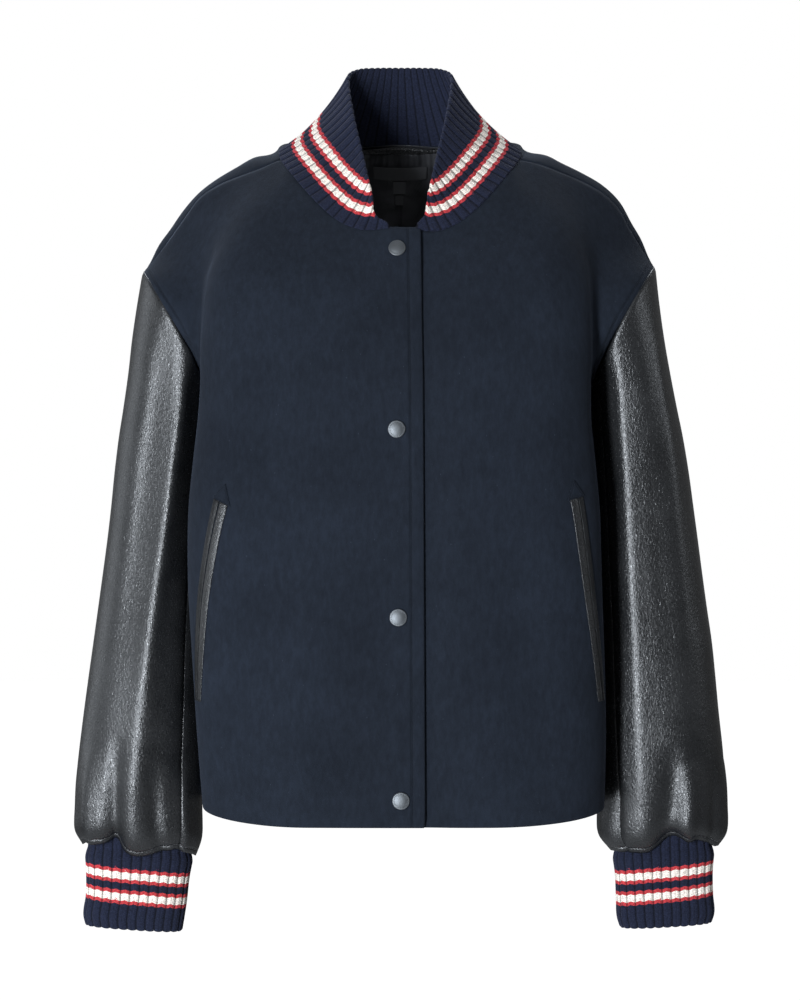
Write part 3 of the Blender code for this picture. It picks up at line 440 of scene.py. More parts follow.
def section_points(side, facing, section, start_x, columns):
    """One section of a front or of half the back, from its centre out to its side edge."""
    start = np.array([start_x, section.centre_y])
    fold = np.array([side * on_side(section, side, "fold"), section.fold_y])
    edge = side_edge(side, facing, section.share)[0]
    heading = math.radians(90 - section.turned_in)
    at_fold = np.array([side * math.cos(heading), -facing * math.sin(heading)])
    edge_turn = math.radians(90 - EDGE_TURN * ease((section.share - 1.0) / EDGE_TURN_OVER))
    at_edge = np.array([side * math.cos(edge_turn), -facing * math.sin(edge_turn)])
    across, back = np.abs(fold - start)
    reach = np.linalg.norm(edge[:2] - fold)
    handle = FOLD_HANDLE * (back + SQUARE_TURN * across)
    past_start = start + np.array([side * FRONT_HANDLE * across, 0.0])
    front_curve = bezier(start, past_start, fold - at_fold * handle, fold)
    handle = SIDE_HANDLE * reach
    side_curve = bezier(fold, fold + at_fold * handle, edge[:2] - at_edge * handle, edge[:2])
    in_front = columns <= FOLD_AT + 1e-9
    plan = np.empty((len(columns), 2))
    plan[in_front] = spread(front_curve, columns[in_front] / FOLD_AT)
    plan[~in_front] = spread(side_curve, (columns[~in_front] - FOLD_AT) / (1 - FOLD_AT))
    lift = np.sin(np.pi * columns) ** 2
    height = section.centre_z + (edge[2] - section.centre_z) * ease((columns - HEIGHT_FROM) / HEIGHT_OVER)
    back_by = facing * section.set_back * lift
    return np.column_stack([plan[:, 0], plan[:, 1] - back_by, height + section.rise * lift])


def collar_lines(side):
    """The collar's base and top points at each station on one side."""
    base = np.array([[side * row.base_x, row.base_y, row.base_z] for row in COLLAR])
    top = np.array([[side * row.top_x, row.top_y, row.top_z] for row in COLLAR])
    base[0, 0] = side * TIP_X[side]
    top[0, 0] = side * (TIP_X[side] + TIP_LEAN)
    return base, top


def shoulder_points(side, line):
    """The forward seam or the ridge at each shoulder column, evenly along it."""
    lines = [(side * row.x, getattr(row, line + "_y"), on_side(row, side, line)) for row in SHOULDER]
    points = np.array(lines, float)
    if line == "seam":
        points[0] = collar_lines(side)[0][SHOULDER_STATION]
        points[-1] = side_edge(side, FRONT, 2.0)[0]
    else:
        points[0, 0] += side * RIDGE_START
    length = length_along(points)
    return smooth(length / length[-1], points, np.linspace(0, 1, SHOULDER_COLUMNS + 1))


ROW_SHARES = np.concatenate(
    [np.linspace(0, 1, ROWS_BELOW_ARM + 1), 1 + np.linspace(0, 1, ROWS_BESIDE_ARM + 1)[1:]]
)
ARM_SHARES = ROW_SHARES[ROWS_BELOW_ARM:]
FRONT_COLUMNS = np.linspace(0, 1, NECK_COLUMNS + SHOULDER_COLUMNS + 1)
BACK_HALF_COLUMNS = np.concatenate(
    [np.linspace(0, NECK_END, BACK_NECK_COLUMNS + 1), np.linspace(NECK_END, 1, SHOULDER_COLUMNS + 1)[1:]]
)


def front_points(side):
    """Outer points of a front, rows from hem to top and columns from its edge to the side."""
    curves = []
    for section in FRONT_SECTIONS:
        over_edge = OVERLAP_EDGE_HEM + (OVERLAP_EDGE_TOP - OVERLAP_EDGE_HEM) * section.share / 2
        start_x = over_edge if side == LEFT else UNDER_EDGE
        curves.append(section_points(side, FRONT, section, start_x, FRONT_COLUMNS))
    neck = collar_lines(side)[0][: SHOULDER_STATION + 1]
    edge = neck[0].copy()
    edge[0] = OVERLAP_EDGE_TOP if side == LEFT else UNDER_EDGE
    edge[2] -= UNDER_DROP if side == RIGHT else 0.0
    curves.append(np.vstack([edge, (edge + neck[0]) / 2, neck, shoulder_points(side, "seam")[1:]]))
    points = lofted([section.share for section in FRONT_SECTIONS] + [2.0], curves, ROW_SHARES)
    points[:, -1] = side_edge(side, FRONT, ROW_SHARES)
    if side == RIGHT:
        points[:, :, 1] += UNDER_INSET * (1 - ease((points[:, :, 0] - INSET_FROM) / INSET_OVER))
    return points


def back_points():
    """Outer points of the back, rows from hem to top and columns from side to side."""
    halves = []
    for side in (LEFT, RIGHT):
        curves = [section_points(side, BACK, section, 0.0, BACK_HALF_COLUMNS) for section in BACK_SECTIONS]
        neck = collar_lines(side)[0][: SHOULDER_STATION - 1 : -1]
        ridge = shoulder_points(side, "ridge")
        ridge[-1] = side_edge(side, BACK, RIDGE_SHARE)[0]
        below_neck = neck + np.array(BELOW_NECK)
        outward = np.linspace(0, 1, len(neck))[:, None]
        below_neck += outward * (ridge[0] - below_neck[-1])
        curves.append(np.vstack([below_neck, ridge[1:]]))
        curves.append(np.vstack([neck, shoulder_points(side, "seam")[1:]]))
        points = lofted([section.share for section in BACK_SECTIONS] + [RIDGE_SHARE, 2.0], curves, ROW_SHARES)
        points[:, -1] = side_edge(side, BACK, ROW_SHARES)
        halves.append(points)
    return np.concatenate([halves[0][:, :0:-1], halves[1]], axis=1)


def finer(grid, down, across, closed=False):
    """The grid with more rows and columns between its own, on smooth curves through them."""
    rows, columns = grid.shape[:2]
    if closed:
        grid = np.concatenate([grid[:, -2:], grid, grid[:, :3]], axis=1)
        at = 2 + np.arange(columns * across) / across
    else:
        at = np.arange((columns - 1) * across + 1) / across
    grid = smooth(np.arange(grid.shape[1]), grid.swapaxes(0, 1), at).swapaxes(0, 1)
    return smooth(np.arange(rows), grid, np.arange((rows - 1) * down + 1) / down)


def facing_out(points, away_from, closed=False):
    """Unit normals of a grid of points, facing away from a point or an axis."""
    if closed:
        across = np.roll(points, -1, axis=1) - np.roll(points, 1, axis=1)
    else:
        across = np.gradient(points, axis=1)
    normals = unit(np.cross(across, np.gradient(points, axis=0)))
    return normals if (normals * (points - away_from)).sum() > 0 else -normals


def distance_along(points, axis):
    """Millimetres from the grid's first row or column, along each of its lines."""
    steps = np.linalg.norm(np.diff(points, axis=axis), axis=2)
    start = np.zeros_like(np.take(steps, [0], axis=axis))
    return np.concatenate([start, np.cumsum(steps, axis=axis)], axis=axis)


def fold_relief(points, folds):
    """How far soft folds raise each point of a front or a back."""
    raised = np.zeros(points.shape[:2])
    flat = points[:, :, [0, 2]]
    for fold in folds:
        start = np.array([fold.start_x, fold.start_z], float)
        along = np.array([fold.end_x, fold.end_z], float) - start
        share = ((flat - start) @ along) / (along @ along)
        nearest = start + np.clip(share, 0, 1)[:, :, None] * along
        distance = np.linalg.norm(flat - nearest, axis=2)
        taper = FOLD_END + (1 - FOLD_END) * np.sin(np.pi * np.clip(share, 0, 1)) ** FOLD_ROUNDING
        raised += fold.height * taper * np.exp(-((distance / fold.width) ** 2))
    return raised


EDGE_STEPS = 3
SEWN_EDGES = (0.1, 0.1, 0.1, 0.1)
STITCH_NAMES = ("stitch_across", "stitch_along")


def shell(name, outer, normals, thickness, finishes, closed=False, bulge=SEWN_EDGES, numbers=None, uv=None):
    """A cloth of two skins and rounded edges. bulge says how round its first row, last column, last row and
    first column are: 1 for a folded edge, and near 0 for one that is sewn into a seam. finishes are the
    materials of its outside and inside. numbers are values kept for each point of the grid."""
    rows, columns = outer.shape[:2]
    thickness = np.broadcast_to(thickness, (rows, columns))
    inner = outer - thickness[:, :, None] * normals
    across_to = columns if closed else columns - 1
    r, c = np.indices((rows - 1, across_to)).reshape(2, -1)
    corners = np.array([[r, c], [r, c + 1], [r + 1, c + 1], [r + 1, c]]).transpose(2, 0, 1)
    if closed:
        line = np.arange(columns + 1)
        borders = [np.stack([0 * line + row, line], 1) for row in (0, rows - 1)]
        sides = [0 * line, 0 * line + 2]
    else:
        bottom = [(0, c, 0) for c in range(columns)]
        right = [(r, columns - 1, 1) for r in range(rows)]
        top = [(rows - 1, c, 2) for c in range(columns - 1, -1, -1)]
        left = [(r, 0, 3) for r in range(rows - 1, -1, -1)]
        loop = np.array(bottom + right[1:] + top[1:] + left[1:])
        borders, sides = [loop[:, :2]], [loop[:, 2]]
    turned = outer.swapaxes(0, 1)
    outward = [outer[0] - outer[1], turned[-1] - turned[-2], outer[-1] - outer[-2], turned[0] - turned[1]]

    def index_of(place, layer):
        return layer * rows * columns + place[..., 0] * columns + place[..., 1] % columns

    points = [outer.reshape(-1, 3), inner.reshape(-1, 3)]
    faces = [index_of(corners, 0), index_of(corners, 1)[:, ::-1]]
    places = [corners, corners[:, ::-1]]
    inside = [np.zeros(len(corners), int), np.ones(len(corners), int)]
    start = 2 * rows * columns
    point_places = [np.indices((rows, columns)).reshape(2, -1).T] * 2
    for border, side in zip(borders, sides):
        at, following, side = border[:-1], border[1:], side[:-1]
        row, column = at[:, 0], at[:, 1] % columns
        edge = unit([outward[s][r if s % 2 else c] for s, r, c in zip(side, row, column)])
        normal = normals[row, column]
        depth = thickness[row, column][:, None]
        middle = (outer[row, column] + inner[row, column]) / 2
        round_by = np.array(bulge)[side][:, None]
        layers = [index_of(at, 0)]
        for k in range(1, EDGE_STEPS + 1):
            angle = math.pi * k / (EDGE_STEPS + 1)
            points.append(middle + depth / 2 * (math.cos(angle) * normal + math.sin(angle) * round_by * edge))
            point_places.append(np.stack([row, column], 1))
            layers.append(start + np.arange(len(at)))
            start += len(at)
        layers.append(index_of(at, 1))
        for low, high in zip(layers, layers[1:]):
            faces.append(np.stack([low, high, np.roll(high, -1), np.roll(low, -1)], 1))
            places.append(np.stack([at, at, following, following], 1))
            inside.append(np.zeros(len(at), int))
    mesh = bpy.data.meshes.new(name)
    mesh.from_pydata((np.concatenate(points) * MM).tolist(), [], np.concatenate(faces).tolist())
    for finish in finishes:
        mesh.materials.append(finish)
    mesh.polygons.foreach_set("material_index", np.concatenate(inside))
    if uv is not None:
        at = np.concatenate(places)
        mesh.uv_layers.new(name="cloth").uv.foreach_set("vector", uv[at[..., 0], at[..., 1]].reshape(-1))
    row, column = np.concatenate(point_places).T
    for key, values in (numbers or {}).items():
        kept = mesh.attributes.new(key, "FLOAT", "POINT")
        kept.data.foreach_set("value", values[row, column].astype(np.float32))
    made = new_object(name, mesh)
    whole = bmesh.new()
    whole.from_mesh(mesh)
    bmesh.ops.recalc_face_normals(whole, faces=whole.faces)
    whole.to_mesh(mesh)
    whole.free()
    mesh.shade_smooth()
    return made


def worn_piece(piece, node):
    """Lets a sewn piece stand for its node."""
    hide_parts(node)
    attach(piece, "root")


def sewn_piece(
    name, node, points, normals, thickness, finishes, measures, stitches, bulge=SEWN_EDGES
):
    """Makes a piece of cloth that stands for its node. measures are the distances along its rows and its
    columns, and stitches the distances from its stitch line and along it, all in mm."""
    numbers = dict(zip(STITCH_NAMES, stitches))
    uv = np.stack(measures, -1) * MM
    piece = shell(name, points, normals, thickness, finishes, bulge=bulge, numbers=numbers, uv=uv)
    worn_piece(piece, node)


SIGNS = {"+": "ADD", "-": "SUBTRACT", "*": "MULTIPLY", "/": "DIVIDE"}


def tree_of(values):
    """The node tree of the first socket among some values."""
    return next(value.id_data for value in values if isinstance(value, bpy.types.NodeSocket))


def maths(operation, *values, clamp=False):
    inputs, kind = dict(enumerate(values)), SIGNS.get(operation, operation)
    return shader_node(tree_of(values), "Math", inputs, operation=kind, use_clamp=clamp).outputs[0]


def noise(place, scale, detail, roughness=0.5, distortion=0.0):
    made = shader_node(place.id_data, "TexNoise", {"Vector": place, "Scale": scale, "Detail": detail})
    feed(made, {"Roughness": roughness, "Distortion": distortion})
    return made.outputs


def bump(height, distance, strength, over=None):
    """The normals of a relief, which can lie over a coarser one."""
    inputs = {"Height": height, "Distance": distance, "Strength": strength}
    made = shader_node(height.id_data, "Bump", inputs)
    if over is not None:
        feed(made, {"Normal": over})
    return made.outputs[0]


def ramp(value, stops, interpolation="LINEAR"):
    made = shader_node(value.id_data, "ValToRGB", {"Fac": value})
    made.color_ramp.interpolation = interpolation
    elements = made.color_ramp.elements
    while len(elements) < len(stops):
        elements.new(0.5)
    for element, (at, colour) in zip(elements, stops):
        element.position = at
        element.color = colour
    return made.outputs["Color"]


def blended(share, first, second, **settings):
    tree, inputs = tree_of((share, first)), {"Factor": share, "A": first, "B": second}
    return shader_node(tree, "Mix", inputs, data_type="RGBA", **settings).outputs["Result"]


def new_group(name, inputs, outputs):
    """An empty node group, with the names of its inputs, their defaults and the names of its outputs."""
    group = bpy.data.node_groups.new(name, "ShaderNodeTree")
    for label, default in inputs.items():
        socket = group.interface.new_socket(label, in_out="INPUT", socket_type="NodeSocketFloat")
        socket.default_value = default
    for label in outputs:
        group.interface.new_socket(label, in_out="OUTPUT", socket_type="NodeSocketFloat")
    return group, group.nodes.new("NodeGroupInput").outputs, group.nodes.new("NodeGroupOutput")


def placed_group(tree, group, inputs):
    return shader_node(tree, "Group", inputs, node_tree=group).outputs


def object_place(tree):
    return shader_node(tree, "TexCoord").outputs["Object"]


def parts_of(place):
    return shader_node(place.id_data, "SeparateXYZ", {"Vector": place}).outputs


def unwrapped(tree, name):
    return shader_node(tree, "UVMap", uv_map=name).outputs[0]


def stitch_group():
    """A row of stitches: a groove where a line's distance is 0, with threads lying in it."""
    group, given, out = new_group(
        "stitch line",
        {"Distance": 10.0, "Along": 0.0, "Stitch Length": 3.2, "Groove Width": 1.1},
        ("Height", "Thread", "Groove"),
    )
    across = maths("ABSOLUTE", given["Distance"])
    wide = maths("/", across, given["Groove Width"])
    groove = maths("EXPONENT", maths("*", maths("*", wide, wide), -1.0))
    phase = maths("FRACT", maths("/", given["Along"], given["Stitch Length"]))
    off_middle = maths("ABSOLUTE", maths("-", phase, 0.5))
    on = maths("-", 1.0, maths("SMOOTH_MAX", maths("*", off_middle, 2.2), 0.0, 0.1))
    near = maths("-", 1.0, maths("*", across, 2.2), clamp=True)
    thread = maths("*", maths("*", on, 3.0, clamp=True), near, clamp=True)
    height = maths("-", maths("*", thread, 0.7), groove)
    feed(out, {"Height": height, "Thread": thread, "Groove": groove})
    return group


def nap_group():
    """The felted face of wool: tangled fibres, softly mixed shades and a few light hairs."""
    group, given, out = new_group(
        "wool nap", {"Fibre Size": 0.0011, "Fleck Amount": 0.5}, ("Height", "Shade", "Fleck")
    )
    place = object_place(group)
    felt = noise(place, maths("/", 1.0, given["Fibre Size"]), 5.0, 0.68, 0.6)[0]
    broad = noise(place, 14.0, 3.0, 0.55)[0]
    stretch = {"Vector": place, "Scale": (230.0, 230.0, 95.0), "Rotation": (0.0, 0.35, 0.0)}
    stretched = shader_node(group, "Mapping", stretch).outputs[0]
    mottle = noise(stretched, 1.0, 3.0, 0.7)[0]
    hairs = shader_node(group, "TexVoronoi", {"Vector": stretched, "Scale": 1.6, "Randomness": 1.0}).outputs
    near_hair = maths("-", 0.11, hairs["Distance"], clamp=True)
    chance = shader_node(group, "SeparateColor", {"Color": hairs["Color"]}).outputs[0]
    few = maths("*", near_hair, maths("GREATER_THAN", chance, 0.9))
    fleck = maths("*", few, maths("*", given["Fleck Amount"], 14.0), clamp=True)
    shade = maths("+", maths("*", mottle, 0.55), maths("*", broad, 0.45))
    height = maths("+", felt, maths("*", fleck, 0.4))
    feed(out, {"Height": height, "Shade": shade, "Fleck": fleck})
    return group


STITCHES = stitch_group()
NAP = nap_group()


def stitch_line(tree, groove_width):
    """The stitches of a piece, from the distances that its mesh keeps."""
    across, along = (
        shader_node(tree, "Attribute", attribute_name=name).outputs["Fac"] for name in STITCH_NAMES
    )
    return placed_group(tree, STITCHES, {"Distance": across, "Along": along, "Groove Width": groove_width})


def wool_material():
    made, tree, shader = new_material("navy_wool_melton")
    nap = placed_group(tree, NAP, {"Fibre Size": 0.0012, "Fleck Amount": 0.45})
    line = stitch_line(tree, 1.3)
    colour = ramp(nap["Shade"], [(0.36, WOOL_DARK), (0.5, WOOL_NAVY), (0.64, WOOL_LIGHT)])
    colour = blended(nap["Fleck"], colour, WOOL_HAIR)
    # Painted shade: the wool is darkened along each stitch groove, where shade falls.
    colour = blended(maths("*", line["Groove"], 0.35), colour, WOOL_GROOVE_SHADE)
    felt = bump(nap["Height"], 0.0007, 0.55)
    feed(shader, {
        "Base Color": colour, "Normal": bump(line["Height"], 0.0008, 0.8, over=felt),
        "Roughness": 0.92, "Specular IOR Level": 0.18,
        "Sheen Weight": 0.07, "Sheen Roughness": 0.35, "Sheen Tint": WOOL_SHEEN,
    })
    return made


def satin_material():
    made, tree, shader = new_material("black_satin_lining")
    place = object_place(tree)
    slack = noise(place, 38.0, 2.0, distortion=0.8)[0]
    weave = {"Vector": place, "Scale": 420.0, "Distortion": 0.4}
    twill = shader_node(tree, "TexWave", weave, bands_direction="DIAGONAL").outputs["Fac"]
    loose = bump(slack, 0.004, 0.35)
    # Painted sheen: the satin is lighter where the slack raises it, on the crests of its wrinkles.
    colour = ramp(slack, [(0.3, SATIN_BLACK), (0.75, SATIN_PAINTED_SHEEN)])
    woven = bump(twill, 0.0001, 0.5, over=loose)
    feed(shader, {"Base Color": colour, "Normal": woven, "Roughness": 0.38})
    return made


WOOL_FINISH = wool_material()
SATIN_FINISH = satin_material()
BODY_MIDDLE = np.array([0.0, 0.0, -300.0])


def dipped(points, normals, seams):
    """Draws the cloth down beside its seams, which are given by how far each point is from them."""
    for distance in seams:
        points = points - (SEAM_DIP * np.exp(-((distance / SEAM_DIP_WIDTH) ** 2)))[:, :, None] * normals
    return points


def eased_neck_ends(points):
    """Smooths the back where its shoulder and neck edges meet, and thins the cloth there."""
    near = np.zeros(points.shape[:2])
    for side in (LEFT, RIGHT):
        corner = np.array([side * NECK_CORNER[0], NECK_CORNER[1], NECK_CORNER[2]])
        near = np.maximum(near, np.exp(-((np.linalg.norm(points - corner, axis=2) / NECK_CORNER_REACH) ** 2)))
    points = points.copy()
    for _ in range(NECK_CORNER_PASSES):
        middle = (points[:-2, 1:-1] + points[2:, 1:-1] + points[1:-1, :-2] + points[1:-1, 2:]) / 4
        points[1:-1, 1:-1] += near[1:-1, 1:-1, None] * (middle - points[1:-1, 1:-1])
    return points, WOOL * (1 - NECK_CORNER_THINNED * near)


def body_panel(node, coarse, folds, both_sides=False):
    """A wool panel on the points of its solid, with a seam at its last column and perhaps at its first."""
    points, thickness = finer(coarse, FINER_BODY, FINER_BODY), WOOL
    if both_sides:
        points, thickness = eased_neck_ends(points)
    normals = facing_out(points, BODY_MIDDLE)
    along_row, along_column = distance_along(points, 1), distance_along(points, 0)
    from_last = along_row[:, -1:] - along_row
    from_top = along_column[-1:] - along_column
    beside_arm = (np.arange(len(points)) >= ROWS_BELOW_ARM * FINER_BODY)[:, None]
    settle = ease(from_top / SETTLE_BELOW_TOP) * ease(from_last / SETTLE_BESIDE)
    settle = settle * ease(along_row / SETTLE_BESIDE)
    points = points + (fold_relief(points, folds) * settle)[:, :, None] * normals
    seams = [from_last, from_top]
    if both_sides:
        seams.append(along_row)
        across = np.where(beside_arm, np.minimum(from_last, along_row) - STITCH_FROM_ARMHOLE, NO_STITCH)
    else:
        across = np.where(along_row < EDGE_REACH, along_row - STITCH_FROM_EDGE, NO_STITCH)
        across = np.where(beside_arm & (from_last < ARMHOLE_REACH), from_last - STITCH_FROM_ARMHOLE, across)
    points = dipped(points, normals, seams)
    sewn_piece(
        node + "_wool", node, points, facing_out(points, BODY_MIDDLE), thickness,
        (WOOL_FINISH, SATIN_FINISH), (along_row, along_column), (across, along_column),
        bulge=(1.0, 0.1, 0.1, 0.1 if both_sides else 1.0),
    )
    return points


fronts, worn_front = {}, {}
for side, node in ((LEFT, "front_over"), (RIGHT, "front_under")):
    fronts[side] = body_panel(node, front_points(side), FRONT_FOLDS)
    worn_front[side] = node + "_wool"
back = body_panel("back", back_points(), BACK_FOLDS, both_sides=True)


# The sleeves: black pebbled leather, 1.6 mm thick, each cut in an upper and an under piece. They are sewn
# into the armholes and gathered into the cuffs, with a stitched line just above the ribs.
LEATHER = 1.6
FINER_SLEEVE = 8
SLEEVE_RINGS = table(
    "share left_outer right_outer outer_z inner inner_z front back",
    (0.090, 233.5, 230, -150, 167.8, -222, 60, 66),
    (0.190, 239.5, 238.5, -200, 168.5, -245, 59, 63),
    (0.310, 248.5, 250.5, -260, 169.5, -284, 58, 60),
    (0.440, 255.6, 260, -326, 170.5, -335, 57, 58),
    (0.563, 264, 268.4, -390, 171.5, -392, 56, 57),
    (0.650, 270, 274.6, -434, 172, -434, 56, 56),
    (0.750, 277, 279.4, -485, 172, -484, 54, 53),
    (0.823, 281.6, 283.4, -522, 172.5, -521, 51, 50),
    (0.915, 285.7, 285.7, -573, 174, -573, 44, 43),
    (0.965, 284.3, 283.6, -598, 175.5, -600, 37, 36),
)
SLEEVE_CENTRE_Y = {0.0: 2.0, 0.45: 4.0, 1.0: -2.0}
SLEEVE_SQUARE = 0.88
SLEEVE_TWIST = 16.0  # degrees from the armhole to the cuff
UPPER_ROWS, CLOSE_ROWS, CLOSE_ROWS_FROM = 15, 7, 0.82
FRONT_SEAM_COLUMN = 2
BACK_SEAM_COLUMN = 15

# along are shares of the sleeve, and angle is measured round it from the side beside the body to the front.
SLEEVE_FOLD = "along_start along_end angle_start angle_end width height bow"
SLEEVE_FOLDS = {
    LEFT: table(
        SLEEVE_FOLD,
        (-0.06, 1.06, 64, 96, 14, 3.9),
        (-0.06, 0.72, 64, 87, 6.5, 2.2),
        (0.42, 1.10, 82, 93, 8, 1.8),
        (-0.06, 0.72, 92, 112, 12, -1.8),
        (-0.14, 0.52, 68, 76, 18, 3),
        (0.16, 0.92, 34, 44, 15, -2.6),
        (0.79, 1.15, 106, 103, 7.5, -4.4),
        (0.82, 1.16, 136, 134, 12, 4.6),
        (0.84, 1.10, 76, 60, 7, -2.8, 4),
        (0.85, 1.08, 44, 38, 9, 2.6),
        (0.90, 1.10, 122, 118, 5, 1.2),
        (0.15, 0.80, 255, 285, 17, 2.8),
        (0.40, 0.95, 232, 240, 14, -2),
        (0.78, 1.04, 205, 200, 9, -3),
        (0.80, 1.04, 226, 222, 11, 3.4),
        (0.82, 1.04, 258, 262, 9, -3.2),
        (0.80, 1.04, 284, 290, 13, 3.2),
        (0.86, 1.04, 318, 322, 9, -2.4),
    ),
    RIGHT: table(
        SLEEVE_FOLD,
        (-0.06, 1.10, 75, 73, 9, 1.8, -5),
        (0.02, 0.64, 132, 118, 10, 1.2),
        (0.20, 0.80, 98, 96, 14, -1.6),
        (0.81, 1.14, 96, 86, 8, -4.8),
        (0.84, 1.16, 112, 104, 8, 4.4),
        (0.84, 1.10, 138, 146, 9, -3),
        (0.84, 1.06, 172, 176, 10, 2.4),
        (0.86, 1.10, 46, 44, 8, -2.2),
        (0.15, 0.80, 250, 278, 17, 2.6),
        (0.40, 0.95, 228, 236, 14, -2.2),
        (0.78, 1.04, 206, 210, 11, 3.2),
        (0.82, 1.04, 262, 258, 9, -3.2),
        (0.80, 1.04, 288, 284, 12, 3.4),
        (0.86, 1.04, 316, 322, 9, -2.4),
    ),
}
SLEEVE_FOLD_ROUNDING = 0.7
# How far the gathered lower edge is pulled up at each angle round the sleeve.
EDGE_LIFTS = {
    LEFT: (
        (0, 1.5), (16, 3.7), (28, 5.5), (41, 7.8), (53, 9.6), (65, 7.2), (77, 5.5), (94, 4.6), (98, 7),
        (102, 13.4), (114, 13.1), (126, 12.4), (139, 12.2), (151, 10.9), (163, 8.6), (176, 7.3), (205, 7.5),
        (235, 3), (265, 9), (290, 2), (325, 6), (360, 1.5),
    ),
    RIGHT: (
        (0, 4.9), (20, 5.5), (32, 5.1), (45, 3.4), (57, 4.4), (69, 4.6), (81, 5.6), (86, 8), (92, 14.4),
        (106, 14.4), (118, 13.3), (131, 10.3), (143, 7.3), (155, 5), (167, 5.4), (205, 8.5), (235, 3),
        (262, 9.5), (290, 3), (322, 7), (360, 4.9),
    ),
}
EDGE_LIFT_FROM = 0.92
EDGE_FLARE = 3.2  # how far it stands off the cuff

CUFF_RINGS = table(
    "left_outer left_inner right_outer right_inner left_z right_z left_drop right_drop depth",
    (276, 182.5, 275.5, 187.5, -613.5, -611.5, 5, 4.5, 25),
    (274.8, 186, 273.8, 190, -630, -628.5, 6, 4.5, 24),
    (275, 188.5, 274, 191, -652, -650.5, 6, 4.5, 23.5),
    (277, 191.3, 274.8, 192.2, -670.5, -669, 5.5, 4.5, 23),
    (275.5, 192.3, 273, 194, -676.5, -674.5, 5.5, 4.5, 22),
)
CUFF_SQUARE = 0.72
CUFF_Y = SLEEVE_CENTRE_Y[1.0]

LEATHER_BLACK = (0.0085, 0.0090, 0.0098, 1.0)
LEATHER_WORN = (0.018, 0.0185, 0.0195, 1.0)
STITCH_FROM_CUFF = 5.0
PEBBLE = 0.0019
# The stitches' grey is partly the thread's own colour and partly a painted highlight on them.
THREAD_GREY_AND_HIGHLIGHT = (0.10, 0.10, 0.105, 1.0)

ring_columns = 2 * ROWS_BESIDE_ARM
ring_angles = 2 * np.pi * np.arange(ring_columns) / ring_columns
upper_rows = np.linspace(0, CLOSE_ROWS_FROM, UPPER_ROWS)
sleeve_rows = np.concatenate([upper_rows, np.linspace(CLOSE_ROWS_FROM, 1.0, CLOSE_ROWS)[1:]])


def ring_plan(angles, square):
    """The two parts of a squarish ring at each angle: how far out and how far forward."""
    out = -np.sign(np.cos(angles)) * np.abs(np.cos(angles)) ** square
    forward = np.sign(np.sin(angles)) * np.abs(np.sin(angles)) ** square
    return out, forward


def cuff_ring(side, ring, angles):
    """Points of one ring of a cuff."""
    outer_x, inner_x, z, drop = (on_side(ring, side, name) for name in ("outer", "inner", "z", "drop"))
    out, forward = ring_plan(angles, CUFF_SQUARE)
    x = (outer_x + inner_x) / 2 + out * (outer_x - inner_x) / 2
    return np.column_stack([side * x, CUFF_Y - forward * ring.depth, z - drop * (1 - out) / 2])


def turned_angles(angles, share):
    return angles + math.radians(SLEEVE_TWIST) * share


def fold_heights(side, shares, angles):
    """How far folds raise each point of a sleeve."""
    share = shares[:, None]
    degrees = np.degrees(turned_angles(angles, share))
    raised = np.zeros(degrees.shape)
    for fold in SLEEVE_FOLDS[side]:
        along = (share - fold.along_start) / (fold.along_end - fold.along_start)
        centre = fold.angle_start + (fold.angle_end - fold.angle_start) * along
        arch = np.sin(np.pi * np.clip(along, 0, 1))
        centre = centre + fold.bow * arch
        window = np.where((along > 0) & (along < 1), arch**SLEEVE_FOLD_ROUNDING, 0.0)
        away = (degrees - centre + 180) % 360 - 180
        raised += fold.height * window * np.exp(-((away / fold.width) ** 2))
    return raised


def sleeve_points(side):
    """Outer points of a whole sleeve, rings from the armhole to the cuff."""
    hole = np.vstack([side_edge(side, FRONT, ARM_SHARES), side_edge(side, BACK, ARM_SHARES)[-2:0:-1]])
    rings = [hole]
    for ring in SLEEVE_RINGS:
        out, forward = ring_plan(turned_angles(ring_angles, ring.share), SLEEVE_SQUARE)
        outer_x = on_side(ring, side, "outer")
        x = (outer_x + ring.inner) / 2 + out * (outer_x - ring.inner) / 2
        z = (ring.outer_z + ring.inner_z) / 2 + out * (ring.outer_z - ring.inner_z) / 2
        centre_y = float(np.interp(ring.share, list(SLEEVE_CENTRE_Y), list(SLEEVE_CENTRE_Y.values())))
        depth = np.where(forward > 0, ring.front, ring.back)
        rings.append(np.column_stack([side * x, centre_y - forward * depth, z]))
    rings.append(cuff_ring(side, CUFF_RINGS[0], turned_angles(ring_angles, 1.0)))
    coarse = lofted([0.0] + [ring.share for ring in SLEEVE_RINGS] + [1.0], rings, sleeve_rows)
    points = finer(coarse, FINER_SLEEVE, FINER_SLEEVE, closed=True)
    shares = np.interp(np.arange(len(points)) / FINER_SLEEVE, np.arange(len(sleeve_rows)), sleeve_rows)
    angles = 2 * np.pi * np.arange(points.shape[1]) / points.shape[1]
    normals = facing_out(points, points.mean(axis=1, keepdims=True), closed=True)
    near_edge = ease((shares - EDGE_LIFT_FROM) / (1 - EDGE_LIFT_FROM))[:, None]
    raised = fold_heights(side, shares, angles) + EDGE_FLARE * near_edge
    points = points + normals * raised[:, :, None]
    degrees = np.degrees(turned_angles(angles, 1.0)) % 360
    lift_at, lifts = np.array(EDGE_LIFTS[side]).T
    points[:, :, 2] += near_edge * smooth(lift_at, lifts, degrees)
    return points


